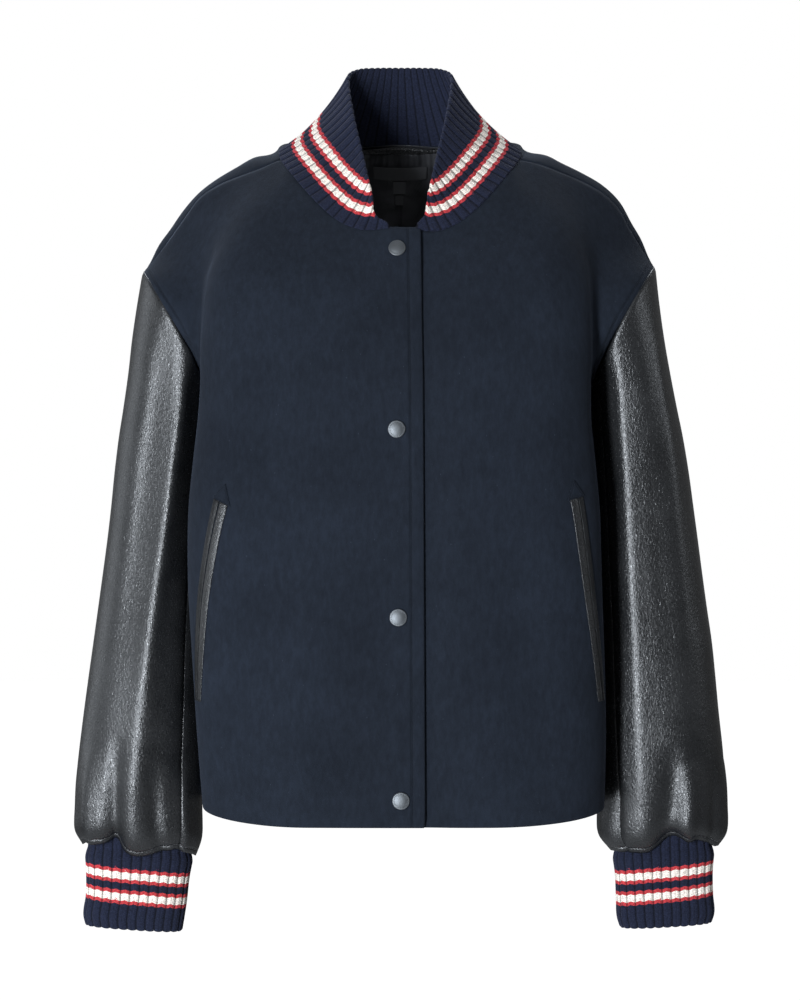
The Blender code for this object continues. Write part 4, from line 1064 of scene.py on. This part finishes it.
def pebble_group():
    """Leather grain: rounded pebbles parted by fine creases, with a smaller grain on them."""
    group, given, out = new_group(
        "pebble grain", {"Grain Size": PEBBLE, "Stretch": 1.5}, ("Height", "Crease", "Wear", "Slack")
    )
    place = object_place(group)
    parts = parts_of(place)
    squeezed = {"X": parts["X"], "Y": parts["Y"], "Z": maths("/", parts["Z"], given["Stretch"])}
    joined = shader_node(group, "CombineXYZ", squeezed).outputs[0]
    per_metre = maths("/", 1.0, given["Grain Size"])
    scaled = shader_node(group, "VectorMath", {0: joined, "Scale": per_metre}, operation="SCALE").outputs[0]
    bent = noise(scaled, 0.7, 3.0, 0.6)["Color"]
    moved = shader_node(group, "VectorMath", {0: scaled, 1: bent}, operation="ADD").outputs[0]
    pebbles = shader_node(group, "TexVoronoi", {"Vector": moved, "Scale": 1.0}, feature="DISTANCE_TO_EDGE")
    wrinkles = noise(scaled, 1.1, 2.0, 0.5, 0.9)[0]
    large = maths("POWER", maths("*", pebbles.outputs["Distance"], 2.6, clamp=True), 0.6)
    hanging = shader_node(group, "Mapping", {"Vector": place, "Scale": (30.0, 30.0, 7.5)}).outputs[0]
    feed(out, {
        "Height": maths("+", maths("*", large, 0.3), maths("*", wrinkles, 2.6)),
        "Crease": maths("-", 1.0, large),
        "Wear": noise(place, 26.0, 3.0, 0.6)[0],
        "Slack": noise(hanging, 1.0, 2.0, 0.5, 0.5)[0],
    })
    return group


PEBBLES = pebble_group()


def leather_material(name, grain, stretch, gloss):
    made, tree, shader = new_material(name)
    hide = placed_group(tree, PEBBLES, {"Grain Size": grain, "Stretch": stretch})
    line = stitch_line(tree, 0.9)
    colour = ramp(hide["Wear"], [(0.35, LEATHER_BLACK), (0.75, LEATHER_WORN)])
    rough = shader_node(tree, "MapRange", {"Value": hide["Crease"], "To Min": 0.24, "To Max": 0.4}).outputs[0]
    slack = bump(hide["Slack"], 0.002, 0.3)
    grained = bump(hide["Height"], 0.00016, 1.0, over=slack)
    # The stitches are a grey lighter than the leather: partly the thread's own colour and partly a painted
    # highlight.
    feed(shader, {
        "Base Color": blended(line["Thread"], colour, THREAD_GREY_AND_HIGHLIGHT),
        "Normal": bump(line["Height"], 0.0008, 0.9, over=grained),
        "Roughness": rough, "Specular IOR Level": gloss,
    })
    return made


LEATHER_FINISH = leather_material("black_pebbled_leather", PEBBLE, 1.8, 0.7)


def sleeve(side, names):
    points = sleeve_points(side)
    normals = facing_out(points, points.mean(axis=1, keepdims=True), closed=True)
    front_cut, back_cut = FRONT_SEAM_COLUMN * FINER_SLEEVE, BACK_SEAM_COLUMN * FINER_SLEEVE
    upper = list(range(front_cut, back_cut + 1))
    under = list(range(back_cut, points.shape[1])) + list(range(front_cut + 1))
    for node, cut in zip(names, (upper, under)):
        cut_points, cut_normals = points[:, cut], normals[:, cut]
        along_row, along_column = distance_along(cut_points, 1), distance_along(cut_points, 0)
        from_end = along_column[-1:] - along_column
        cut_points = dipped(cut_points, cut_normals, [along_row, along_row[:, -1:] - along_row, along_column])
        across = np.where(from_end < 4 * STITCH_FROM_CUFF, from_end - STITCH_FROM_CUFF, NO_STITCH)
        sewn_piece(
            node + "_leather", node, cut_points, cut_normals, LEATHER,
            (LEATHER_FINISH, SATIN_FINISH), (along_row, along_column), (across, along_row),
        )


# Each side as it is seen from the front, with the wearer's word for it.
WEARER_SIDES = ((LEFT, "right"), (RIGHT, "left"))
for side, word in WEARER_SIDES:
    sleeve(side, (f"sleeve_{word}_upper", f"sleeve_{word}_under"))


# The collar and the cuffs: doubled rib knit, 2.6 mm thick, folded at the edge. Each rib is a column of
# V-shaped stitches. Two cream stripes edged with red are knitted in, level with the seam.
KNIT = 2.6
RIB_HEIGHT = 1.25
RIB_ROUNDING = 0.75
KNIT_EDGES = (0.1, 0.6, 1.0, 0.6)
INNER_RIB_HEIGHT = 0.7
COLLAR_RIBS = 58
CUFF_RIBS = 28
POINTS_PER_RIB = 10
COLLAR_KNIT_ROWS = 48
CUFF_KNIT_ROWS = 44
CUFF_TUCK = 20.0  # how far the cuff's top reaches up inside the leather
CUFF_INSET, INSET_ABOVE, INSET_DEPTH = 3.0, 6.0, 12.0
CUFF_TRACE_POINTS = 1441
TUCK_ROWS = 12
YARN_STRAY = 1.6  # mm that a stripe's edge wanders with the yarn
STRIPE_SLOPE = 2.5  # mm that a cuff's stripes rise towards the outer side
SEWN_IN = 1.4  # mm of the collar that lie down in its seam
NECK_MIDDLE = np.array([0.0, -10.0, 0.0])
COLLAR_FLARE = 4.5
FULL_FLARE_HEIGHT = 60.0
FULL_RIB_HEIGHT = 14.0
KNIT_ROW = 1.55  # height of a stitch, mm
STRIPE_LIMITS = tuple(KNIT_ROW * rows for rows in (7, 9, 13, 15, 19, 21, 25, 27))  # mm from the seam
STRIPE_SPAN = 80.0
KNIT_NAVY = (0.0115, 0.0150, 0.0330, 1.0)
KNIT_RED = (0.53, 0.046, 0.052, 1.0)
KNIT_CREAM = (0.96, 0.86, 0.76, 1.0)
KNIT_SHEEN = (0.6, 0.6, 0.9, 1.0)
STRIPE_COLOURS = (KNIT_NAVY, KNIT_RED, KNIT_CREAM, KNIT_RED) * 2 + (KNIT_NAVY,)


def knit_group():
    """Rib stitches. Ribs counts the ribs across and Height Up is the distance from the seam in mm."""
    group, given, out = new_group(
        "rib stitches",
        {"Ribs": 0.0, "Height Up": 0.0, "Row": KNIT_ROW},
        ("Relief", "Stripe Height", "Valley"),
    )
    in_rib = maths("FRACT", given["Ribs"])
    off_rib = maths("ABSOLUTE", maths("-", in_rib, 0.5))
    rows_up = maths("/", given["Height Up"], given["Row"])
    slanted = maths("-", rows_up, maths("*", off_rib, 1.7))
    leg = maths("SINE", maths("*", maths("FRACT", slanted), math.pi))
    in_half = maths("FRACT", maths("*", in_rib, 2.0))
    split = maths("SINE", maths("*", in_half, math.pi))
    valley = maths("-", off_rib, 0.36, clamp=True)
    feed(out, {
        "Relief": maths("*", maths("POWER", leg, 0.6), maths("POWER", split, 0.5)),
        "Stripe Height": maths("*", maths("+", maths("FLOOR", slanted), 0.9), given["Row"]),
        "Valley": maths("*", valley, 7.0, clamp=True),
    })
    return group


RIB_STITCHES = knit_group()


def knit_material(name, striped=True):
    made, tree, shader = new_material(name)
    parts = parts_of(unwrapped(tree, "cloth"))
    stitches = placed_group(tree, RIB_STITCHES, {"Ribs": parts["X"], "Height Up": parts["Y"]})
    yarn = noise(object_place(tree), 620.0, 4.0, 0.7)[0]
    uneven = maths("-", yarn, 0.5)
    height = maths("+", stitches["Stripe Height"], maths("*", uneven, YARN_STRAY))
    stops = [(0.0, KNIT_NAVY), (1.0, KNIT_NAVY)]
    if striped:
        stops = list(zip([0.0] + [limit / STRIPE_SPAN for limit in STRIPE_LIMITS], STRIPE_COLOURS))
    yarn_colour = ramp(maths("/", height, STRIPE_SPAN, clamp=True), stops, "CONSTANT")
    # Painted shade and light: the knit is darker in the valleys between its ribs and lighter on the crowns of
    # its stitch loops. The yarn's uneven tone is its own.
    valley_shade = maths("-", 1.0, maths("*", stitches["Valley"], 0.75))
    shaded = maths("*", valley_shade, maths("+", maths("*", stitches["Relief"], 0.28), 0.8))
    shaded = maths("*", shaded, maths("+", maths("*", uneven, 2.2), 1.0))
    tone = shader_node(tree, "CombineColor", {"Red": shaded, "Green": shaded, "Blue": shaded}).outputs[0]
    loops = bump(stitches["Relief"], 0.0007, 0.7)
    feed(shader, {
        "Base Color": blended(1.0, yarn_colour, tone, blend_type="MULTIPLY"),
        "Normal": bump(yarn, 0.0004, 0.5, over=loops),
        "Roughness": 0.9, "Specular IOR Level": 0.2,
        "Sheen Weight": 0.06, "Sheen Roughness": 0.5, "Sheen Tint": KNIT_SHEEN,
    })
    return made


KNIT_FINISHES = (knit_material("navy_striped_rib"), knit_material("navy_plain_rib", striped=False))


def ribbed(node, surface, normals, up, rib_at, fade, closed=False):
    """Makes a piece with ribs on both faces of a smooth surface, each with a round crown."""
    profile = (np.abs(np.sin(np.pi * rib_at)) ** RIB_ROUNDING)[None, :] * fade
    outer = surface + normals * (RIB_HEIGHT * profile)[:, :, None]
    thickness = KNIT + (RIB_HEIGHT + INNER_RIB_HEIGHT) * profile - INNER_RIB_HEIGHT
    if closed:
        rib_at = np.concatenate([rib_at, [rib_at[-1] + rib_at[1] - rib_at[0]]])
        up = np.concatenate([up, up[:, :1]], axis=1)
    uv = np.stack([np.broadcast_to(rib_at, up.shape), up], -1)
    piece = shell(node + "_knit", outer, normals, thickness, KNIT_FINISHES, closed, KNIT_EDGES, uv=uv)
    worn_piece(piece, node)


def collar():
    base_line, top_line = (
        np.vstack([collar_lines(LEFT)[line], collar_lines(RIGHT)[line][-2::-1]]) for line in (0, 1)
    )
    stations = np.arange(len(base_line))
    along = length_along(base_line)
    columns = COLLAR_RIBS * POINTS_PER_RIB + 1
    at = np.interp(np.linspace(0, along[-1], columns), along, stations)
    base, top = smooth(stations, base_line, at), smooth(stations, top_line, at)
    base = base - SEWN_IN * unit(top - base)
    height = np.linalg.norm(top - base, axis=1)
    flare = unit(np.cross(np.gradient(base, axis=0), top - base))
    flare = flare if (flare * (base - NECK_MIDDLE)).sum() > 0 else -flare
    up_share = np.linspace(0, 1, COLLAR_KNIT_ROWS)[:, None, None]
    bow = COLLAR_FLARE * 4 * up_share * (1 - up_share)
    bow = bow * np.minimum(1.0, height / FULL_FLARE_HEIGHT)[None, :, None]
    surface = base + (top - base) * up_share - flare * bow
    normals = facing_out(surface, NECK_MIDDLE)
    fade = np.minimum(1.0, height / FULL_RIB_HEIGHT)[None, :] * np.ones((COLLAR_KNIT_ROWS, 1))
    ribs = np.linspace(0, COLLAR_RIBS, columns)
    up = distance_along(surface, 0) - SEWN_IN
    ribbed("collar", surface, normals, up, ribs, fade)


def cuff(side, word):
    columns = CUFF_RIBS * POINTS_PER_RIB
    fine = np.linspace(0, 2 * np.pi, CUFF_TRACE_POINTS)
    length = length_along(cuff_ring(side, CUFF_RINGS[2], fine))
    ribs = np.arange(columns) / POINTS_PER_RIB
    angles = np.interp((ribs + 0.5) / CUFF_RIBS * length[-1] % length[-1], length, fine)
    rings = np.array([cuff_ring(side, ring, angles) for ring in CUFF_RINGS])
    shares = distance_along(rings, 0).mean(axis=1)
    surface = smooth(shares / shares[-1], rings, np.linspace(0, 1, CUFF_KNIT_ROWS))
    tucked = np.linspace(CUFF_TUCK, 0, TUCK_ROWS, endpoint=False)[:, None, None]
    surface = np.concatenate([surface[:1] + [0.0, 0.0, 1.0] * tucked, surface])
    normals = facing_out(surface, surface.mean(axis=1, keepdims=True), closed=True)
    below_top = distance_along(surface, 0) - CUFF_TUCK
    surface = surface - CUFF_INSET * (1 - ease((below_top + INSET_ABOVE) / INSET_DEPTH))[:, :, None] * normals
    stripes_up = below_top + STRIPE_SLOPE * ring_plan(angles, 1.0)[0]
    fade, cut = np.ones(surface.shape[:2]), (length[-1], below_top.max() + CUFF_TUCK)
    ribbed(f"cuff_{word}", surface, normals, stripes_up, ribs, fade, closed=True)


collar()
for side, word in WEARER_SIDES:
    cuff(side, word)


# The snaps: four domed metal caps, pressed and riveted through the upper front. Their edge is turned under,
# and a plain ring of fine dimples runs round the dome.
SNAP_CENTRES = ((-2.5, -92.0), (-2.9, -246.0), (-1.5, -404.0), (0.8, -558.0))
SNAP_SIDES = 72
SNAP_SEAT = 0.25
# Radius and height, from under the rim to the middle of the dome.
SNAP_PROFILE = (
    (6.3, -0.1), (6.9, 0), (7.2, 0.3), (7.35, 0.7), (7.3, 1.05), (7.05, 1.32), (6.75, 1.45), (6.5, 1.46),
    (6.1, 1.5), (5.6, 1.62), (5, 1.8), (4.2, 2.02), (3.2, 2.22), (2.1, 2.36), (1, 2.42),
)
SNAP_CROWN = 2.44
PLACE_STEPS = 4
DIMPLES = 26
DIMPLE_RADIUS = 5.75
SNAP_GREY = (0.155, 0.165, 0.175, 1.0)
# The next colour is painted shade for the dimples.
SNAP_DIMPLE_SHADE = (0.06, 0.062, 0.066, 1.0)


def at_grid(grid, row, column):
    """A grid's value between its points, row and column being fractions of an index."""
    r = min(max(int(row), 0), grid.shape[0] - 2)
    c = min(max(int(column), 0), grid.shape[1] - 2)
    down, across = row - r, column - c
    low = grid[r, c] * (1 - across) + grid[r, c + 1] * across
    high = grid[r + 1, c] * (1 - across) + grid[r + 1, c + 1] * across
    return low * (1 - down) + high * down


def place_on_front(grid, x, z):
    """Row and column of the point on the face of a front that lies at x and z."""
    near = grid[:, : round(FOLD_AT * (grid.shape[1] - 1))]
    nearest = np.argmin((near[..., 0] - x) ** 2 + (near[..., 2] - z) ** 2)
    row, column = (float(k) for k in np.unravel_index(nearest, near.shape[:2]))
    for _ in range(PLACE_STEPS):
        here = at_grid(grid, row, column)
        up = at_grid(grid, row + 0.5, column) - at_grid(grid, row - 0.5, column)
        across = at_grid(grid, row, column + 0.5) - at_grid(grid, row, column - 0.5)
        step = np.linalg.solve([[up[0], across[0]], [up[2], across[2]]], [x - here[0], z - here[2]])
        row, column = row + step[0], column + step[1]
    return np.array([row, column])


def snap_material():
    made, tree, shader = new_material("satin_grey_metal")
    parts = parts_of(unwrapped(tree, "cap"))
    off_ring = maths("*", maths("-", parts["Y"], DIMPLE_RADIUS), 2.0)
    ring = maths("EXPONENT", maths("*", maths("*", off_ring, off_ring), -2.5))
    beat = maths("COSINE", maths("*", parts["X"], 2 * math.pi * DIMPLES))
    dots = maths("*", maths("-", beat, 0.35, clamp=True), 1.6, clamp=True)
    dimple = maths("*", ring, dots)
    wear = noise(object_place(tree), 900.0, 3.0)[0]
    rough = shader_node(tree, "MapRange", {"Value": wear, "To Min": 0.46, "To Max": 0.6}).outputs[0]
    height = maths("-", maths("*", wear, 0.12), dimple)
    # Painted shade: the metal is darker in its dimples.
    feed(shader, {
        "Base Color": blended(dimple, SNAP_GREY, SNAP_DIMPLE_SHADE), "Normal": bump(height, 0.00025, 0.8),
        "Roughness": rough, "Metallic": 1.0,
    })
    return made


SNAP_FINISH = snap_material()


def snap(name, seat, normal):
    side_way = unit(np.cross(normal, (0.0, 0.0, 1.0)))
    up_way = np.cross(side_way, normal)
    angles = 2 * np.pi * np.arange(SNAP_SIDES) / SNAP_SIDES
    around = np.cos(angles)[:, None] * side_way + np.sin(angles)[:, None] * up_way
    points = np.concatenate([seat + height * normal + radius * around for radius, height in SNAP_PROFILE])
    points = np.vstack([points, seat + SNAP_CROWN * normal, seat + SNAP_PROFILE[0][1] * normal]) * MM
    faces, places = [], []
    for ring, ((low, _), (high, _)) in enumerate(zip(SNAP_PROFILE, SNAP_PROFILE[1:])):
        a, b = ring * SNAP_SIDES, (ring + 1) * SNAP_SIDES
        for k in range(SNAP_SIDES):
            after, turn, next_turn = (k + 1) % SNAP_SIDES, k / SNAP_SIDES, (k + 1) / SNAP_SIDES
            faces.append((a + k, a + after, b + after, b + k))
            places += [(turn, low), (next_turn, low), (next_turn, high), (turn, high)]
    last, crown, foot = (len(SNAP_PROFILE) - 1) * SNAP_SIDES, len(points) - 2, len(points) - 1
    for k in range(SNAP_SIDES):
        after, turn, next_turn = (k + 1) % SNAP_SIDES, k / SNAP_SIDES, (k + 1) / SNAP_SIDES
        faces += [(last + k, last + after, crown), (after, k, foot)]
        places += [(turn, 1.0), (next_turn, 1.0), (turn, 0.0)] + [(0.0, 0.0)] * 3
    mesh = bpy.data.meshes.new(name)
    mesh.from_pydata(points.tolist(), [], faces)
    mesh.materials.append(SNAP_FINISH)
    mesh.uv_layers.new(name="cap").uv.foreach_set("vector", np.array(places, float).ravel())
    mesh.shade_smooth()
    return new_object(name, mesh)


upper_front = fronts[LEFT]
upper_normals = facing_out(upper_front, BODY_MIDDLE)
for number, (x, z) in enumerate(SNAP_CENTRES, start=1):
    place = place_on_front(upper_front, x, z)
    normal = unit(at_grid(upper_normals, *place))
    piece = snap(f"snap_{number}_cap", at_grid(upper_front, *place) + SNAP_SEAT * normal, normal)
    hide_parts(f"snap_{number}")
    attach(piece, "root")


# The pockets: each a slit between two welts of the sleeves' leather, folded round and sewn into the wool,
# with a small wool arrowhead tacked over its top.
# slant is how much the upper ends of the welts drop towards the front, for each mm across them.
Pocket = namedtuple("Pocket", "top_x top_z bottom_x bottom_z slant")
POCKETS = {
    LEFT: Pocket(152.0, -307.0, 172.5, -476.0, 0.44),
    RIGHT: Pocket(150.0, -304.0, 172.0, -476.0, 0.22),
}
SLANT_FADE = 5.0
POCKET_STEPS = 60
WELT_STEPS = 12
FRONT_WELT = (0.35, 7.4)
BACK_WELT = (-5.8, -0.35)
WELT_SEAT, WELT_RISE, WELT_THICKNESS = 0.25, 0.9, 1.5
WELT_EDGE, WELT_ROUNDING = 0.05, 0.45
WELT_GRAIN = 0.0013
TAB_WIDTH, TAB_HEIGHT, TAB_FOOT, TAB_SHIFT = 17.0, 14.5, 0.6, 1.0
TAB_LEAN = 0.5
TAB_TAPER = 0.96
TAB_THICKNESS = 0.8
TAB_STEPS = 14
STITCH_FROM_TAB = 0.6

WELT_FINISH = leather_material("black_leather_welts", WELT_GRAIN, 1.6, 0.55)
SHADED_WELT_FINISH = leather_material("black_leather_back_welts", WELT_GRAIN, 1.6, 0.2)
TAB_FINISH = WOOL_FINISH.copy()
TAB_FINISH.name = "navy_wool_tab"


def pocket(side, word):
    grid = fronts[side]
    normals = facing_out(grid, BODY_MIDDLE)
    size = POCKETS[side]
    top = place_on_front(grid, side * size.top_x, size.top_z)
    bottom = place_on_front(grid, side * size.bottom_x, size.bottom_z)

    def on_front(along, towards_front, up=0.0, out=0.0):
        row, column = top + (bottom - top) * along
        beside = np.linalg.norm(at_grid(grid, row, column) - at_grid(grid, row, column - 1))
        row_height = np.linalg.norm(at_grid(grid, row, column) - at_grid(grid, row + 1, column))
        up = up - size.slant * towards_front * math.exp(-SLANT_FADE * along)
        place = (row + up / row_height, column - towards_front / beside)
        return at_grid(grid, *place) + out * unit(at_grid(normals, *place))

    steps = np.linspace(0, 1, WELT_STEPS + 1)
    across_welt = steps * (1 - 2 * WELT_EDGE) + WELT_EDGE
    lift = WELT_SEAT + WELT_RISE * np.sin(np.pi * across_welt) ** WELT_ROUNDING
    for node, (start, end), finish in (
        (f"pocket_{word}_front_welt", FRONT_WELT, WELT_FINISH),
        (f"pocket_{word}_back_welt", BACK_WELT, SHADED_WELT_FINISH),
    ):
        outer = np.array([
            [on_front(share, start + (end - start) * step, out=rise) for step, rise in zip(steps, lift)]
            for share in np.linspace(0, 1, POCKET_STEPS + 1)[::-1]
        ])
        along_row, along_column = distance_along(outer, 1), distance_along(outer, 0)
        sewn_piece(
            node + "_leather", node, outer, facing_out(outer, BODY_MIDDLE), WELT_THICKNESS,
            (finish, finish), (along_row, along_column), (np.full(outer.shape[:2], NO_STITCH), along_column),
            bulge=(0.6, 0.2, 0.6, 0.2),
        )
    ups, acrosses = np.linspace(0, 1, TAB_STEPS), np.linspace(-0.5, 0.5, TAB_STEPS)
    lean = TAB_LEAN * size.slant * TAB_HEIGHT
    rows = []
    for t in ups:
        middle, up = TAB_SHIFT + lean * t, TAB_FOOT + TAB_HEIGHT * t + size.slant * lean * t
        width = TAB_WIDTH * (1 - TAB_TAPER * t)
        rows.append([on_front(0.0, across * width + middle, up=up, out=TAB_THICKNESS) for across in acrosses])
    outer = np.array(rows)
    from_side = (0.5 - np.abs(acrosses))[None, :] * TAB_WIDTH * (1 - TAB_TAPER * ups)[:, None]
    from_foot = (ups * TAB_HEIGHT)[:, None] * np.ones((1, TAB_STEPS))
    stitches = (np.minimum(from_side, from_foot) - STITCH_FROM_TAB, from_foot + from_side)
    piece = shell(
        f"pocket_{word}_tab_wool", outer, facing_out(outer, BODY_MIDDLE), TAB_THICKNESS,
        (TAB_FINISH, TAB_FINISH), bulge=(0.8, 0.8, 0.8, 0.8), numbers=dict(zip(STITCH_NAMES, stitches)),
    )
    worn_piece(piece, f"pocket_{word}_tab")


for side, word in WEARER_SIDES:
    pocket(side, word)


# Inside the neck: a narrow leather facing under the collar, and below it the satin lining with a pleat down
# its middle. Three woven satin labels are sewn to the lining, and all are bare.
LINING, FACING, LOOSE, GAP = 0.9, 1.1, 2.0, 0.4
BELOW_EDGE = 1.0
FACING_HEIGHT = 7.0
FACING_ROWS = 15
FACING_STITCHES = (0.9, 6.2)
LINING_DEPTH, LINING_ROWS = 118.0, 80
LINING_WIDTH, LINING_COLUMNS = 100.0, 121
# The slack satin's waves across, by height, turn for each mm and start, and how far down they show.
WAVES = ((0.35, 0.55, 0.0), (0.25, 1.23, 1.0))
SLACK, SLACK_AT, SLACK_OVER = 0.8, 16.0, 14.0
FACING_ROUND, FACING_SLACK = 0.5, 0.4
PLEAT_X, PLEAT_WIDTH, PLEAT_DEPTH = -1.5, 2.2, 1.4
PLEAT_FROM, PLEAT_OVER = 6.0, 14.0
LABELS = table(
    "name x z width height tone",
    ("label_main", 0, -12.5, 46, 12, 0.085),
    ("label_size", -0.5, -26, 10.5, 12, 0.12),
    ("label_care", -0.5, -38.5, 6.5, 9.5, 0.09),
)
LABEL_THICKNESS, LABEL_LIFT = 0.8, 0.6
LABEL_COLUMNS, LABEL_ROWS = 40, 16
TRACE_ROWS = 200


def behind_neck(xs, drops, depth):
    """Points inside the back, by how far across they lie and how far below the neck's edge."""
    back_normals = facing_out(back, BODY_MIDDLE)
    rows = np.linspace(ROWS_BELOW_ARM * FINER_BODY, back.shape[0] - 1, TRACE_ROWS)[::-1]
    lines = []
    for x in xs:
        columns = []
        for row in rows:
            low = min(int(row), back.shape[0] - 2)
            row_xs = back[low, :, 0] + (row - low) * (back[low + 1, :, 0] - back[low, :, 0])
            columns.append(float(np.interp(x, row_xs, np.arange(back.shape[1]))))
        length = length_along(np.array([at_grid(back, *place) for place in zip(rows, columns)]))
        line = []
        for k in np.interp(drops, length, np.arange(TRACE_ROWS)):
            place = [np.interp(k, np.arange(TRACE_ROWS), values) for values in (rows, columns)]
            line.append(at_grid(back, *place) - depth * unit(at_grid(back_normals, *place)))
        lines.append(line)
    return np.array(lines).swapaxes(0, 1)


def label_material(label):
    made, tree, shader = new_material("bare_" + label.name)
    weave = {"Vector": unwrapped(tree, "cloth"), "Scale": 700.0, "Distortion": 0.3}
    weft = shader_node(tree, "TexWave", weave, bands_direction="Y").outputs["Fac"]
    tone = label.tone
    dark, light = (tone * 0.7, tone * 0.7, tone * 0.75, 1.0), (tone, tone, tone * 1.05, 1.0)
    colour = ramp(weft, [(0.2, dark), (0.9, light)])
    feed(shader, {"Base Color": colour, "Normal": bump(weft, 0.0001, 0.6), "Roughness": 0.45})
    return made


def inside_neck(name, node, finish, xs, drops, depth, thickness, relief=0.0, stitched=()):
    outer = behind_neck(xs, drops, depth)
    towards = -facing_out(outer, BODY_MIDDLE)
    outer = outer + (np.asarray(relief) * np.ones(outer.shape[:2]))[:, :, None] * towards
    outer = outer + thickness * towards
    along_row, along_column = distance_along(outer, 1), distance_along(outer, 0)
    across = np.full(outer.shape[:2], NO_STITCH)
    for line in stitched:
        across = np.where(np.abs(along_column - line) < np.abs(across), along_column - line, across)
    sewn_piece(
        name, node, outer, towards, thickness, (finish, finish), (along_row, along_column),
        (across, along_row), bulge=(0.5, 0.3, 0.5, 0.3),
    )


lining_xs = np.linspace(-0.5, 0.5, LINING_COLUMNS) * LINING_WIDTH
waves = sum(height * np.sin(lining_xs * turn + start) for height, turn, start in WAVES)[None, :]
rounded = FACING_ROUND * np.sqrt(np.sin(np.pi * np.linspace(0, 1, FACING_ROWS)))
inside_neck(
    "neck_facing_leather", "neck_facing", WELT_FINISH, lining_xs,
    np.linspace(BELOW_EDGE, BELOW_EDGE + FACING_HEIGHT, FACING_ROWS), WOOL + LOOSE, FACING,
    relief=rounded[:, None] + FACING_SLACK * waves, stitched=FACING_STITCHES,
)
lining_drops = np.linspace(BELOW_EDGE + FACING_HEIGHT + GAP, LINING_DEPTH, LINING_ROWS)
slack = SLACK * np.exp(-((lining_drops - SLACK_AT) / SLACK_OVER) ** 2)[:, None] * waves
pleat = -PLEAT_DEPTH * np.exp(-((lining_xs - PLEAT_X) / PLEAT_WIDTH) ** 2)[None, :]
pleat = pleat * ease((lining_drops - PLEAT_FROM) / PLEAT_OVER)[:, None]
inside_neck(
    "lining_satin", "lining_back", SATIN_FINISH, lining_xs, lining_drops,
    WOOL + LOOSE, LINING, relief=pleat + slack,
)
neck_z = float(back[-1, back.shape[1] // 2, 2])
for label in LABELS:
    inside_neck(
        label.name + "_bare", label.name, label_material(label),
        label.x + label.width * np.linspace(-0.5, 0.5, LABEL_COLUMNS),
        neck_z - label.z + label.height * np.linspace(-0.5, 0.5, LABEL_ROWS),
        WOOL + LOOSE + LINING + GAP + LABEL_LIFT, LABEL_THICKNESS,
    )
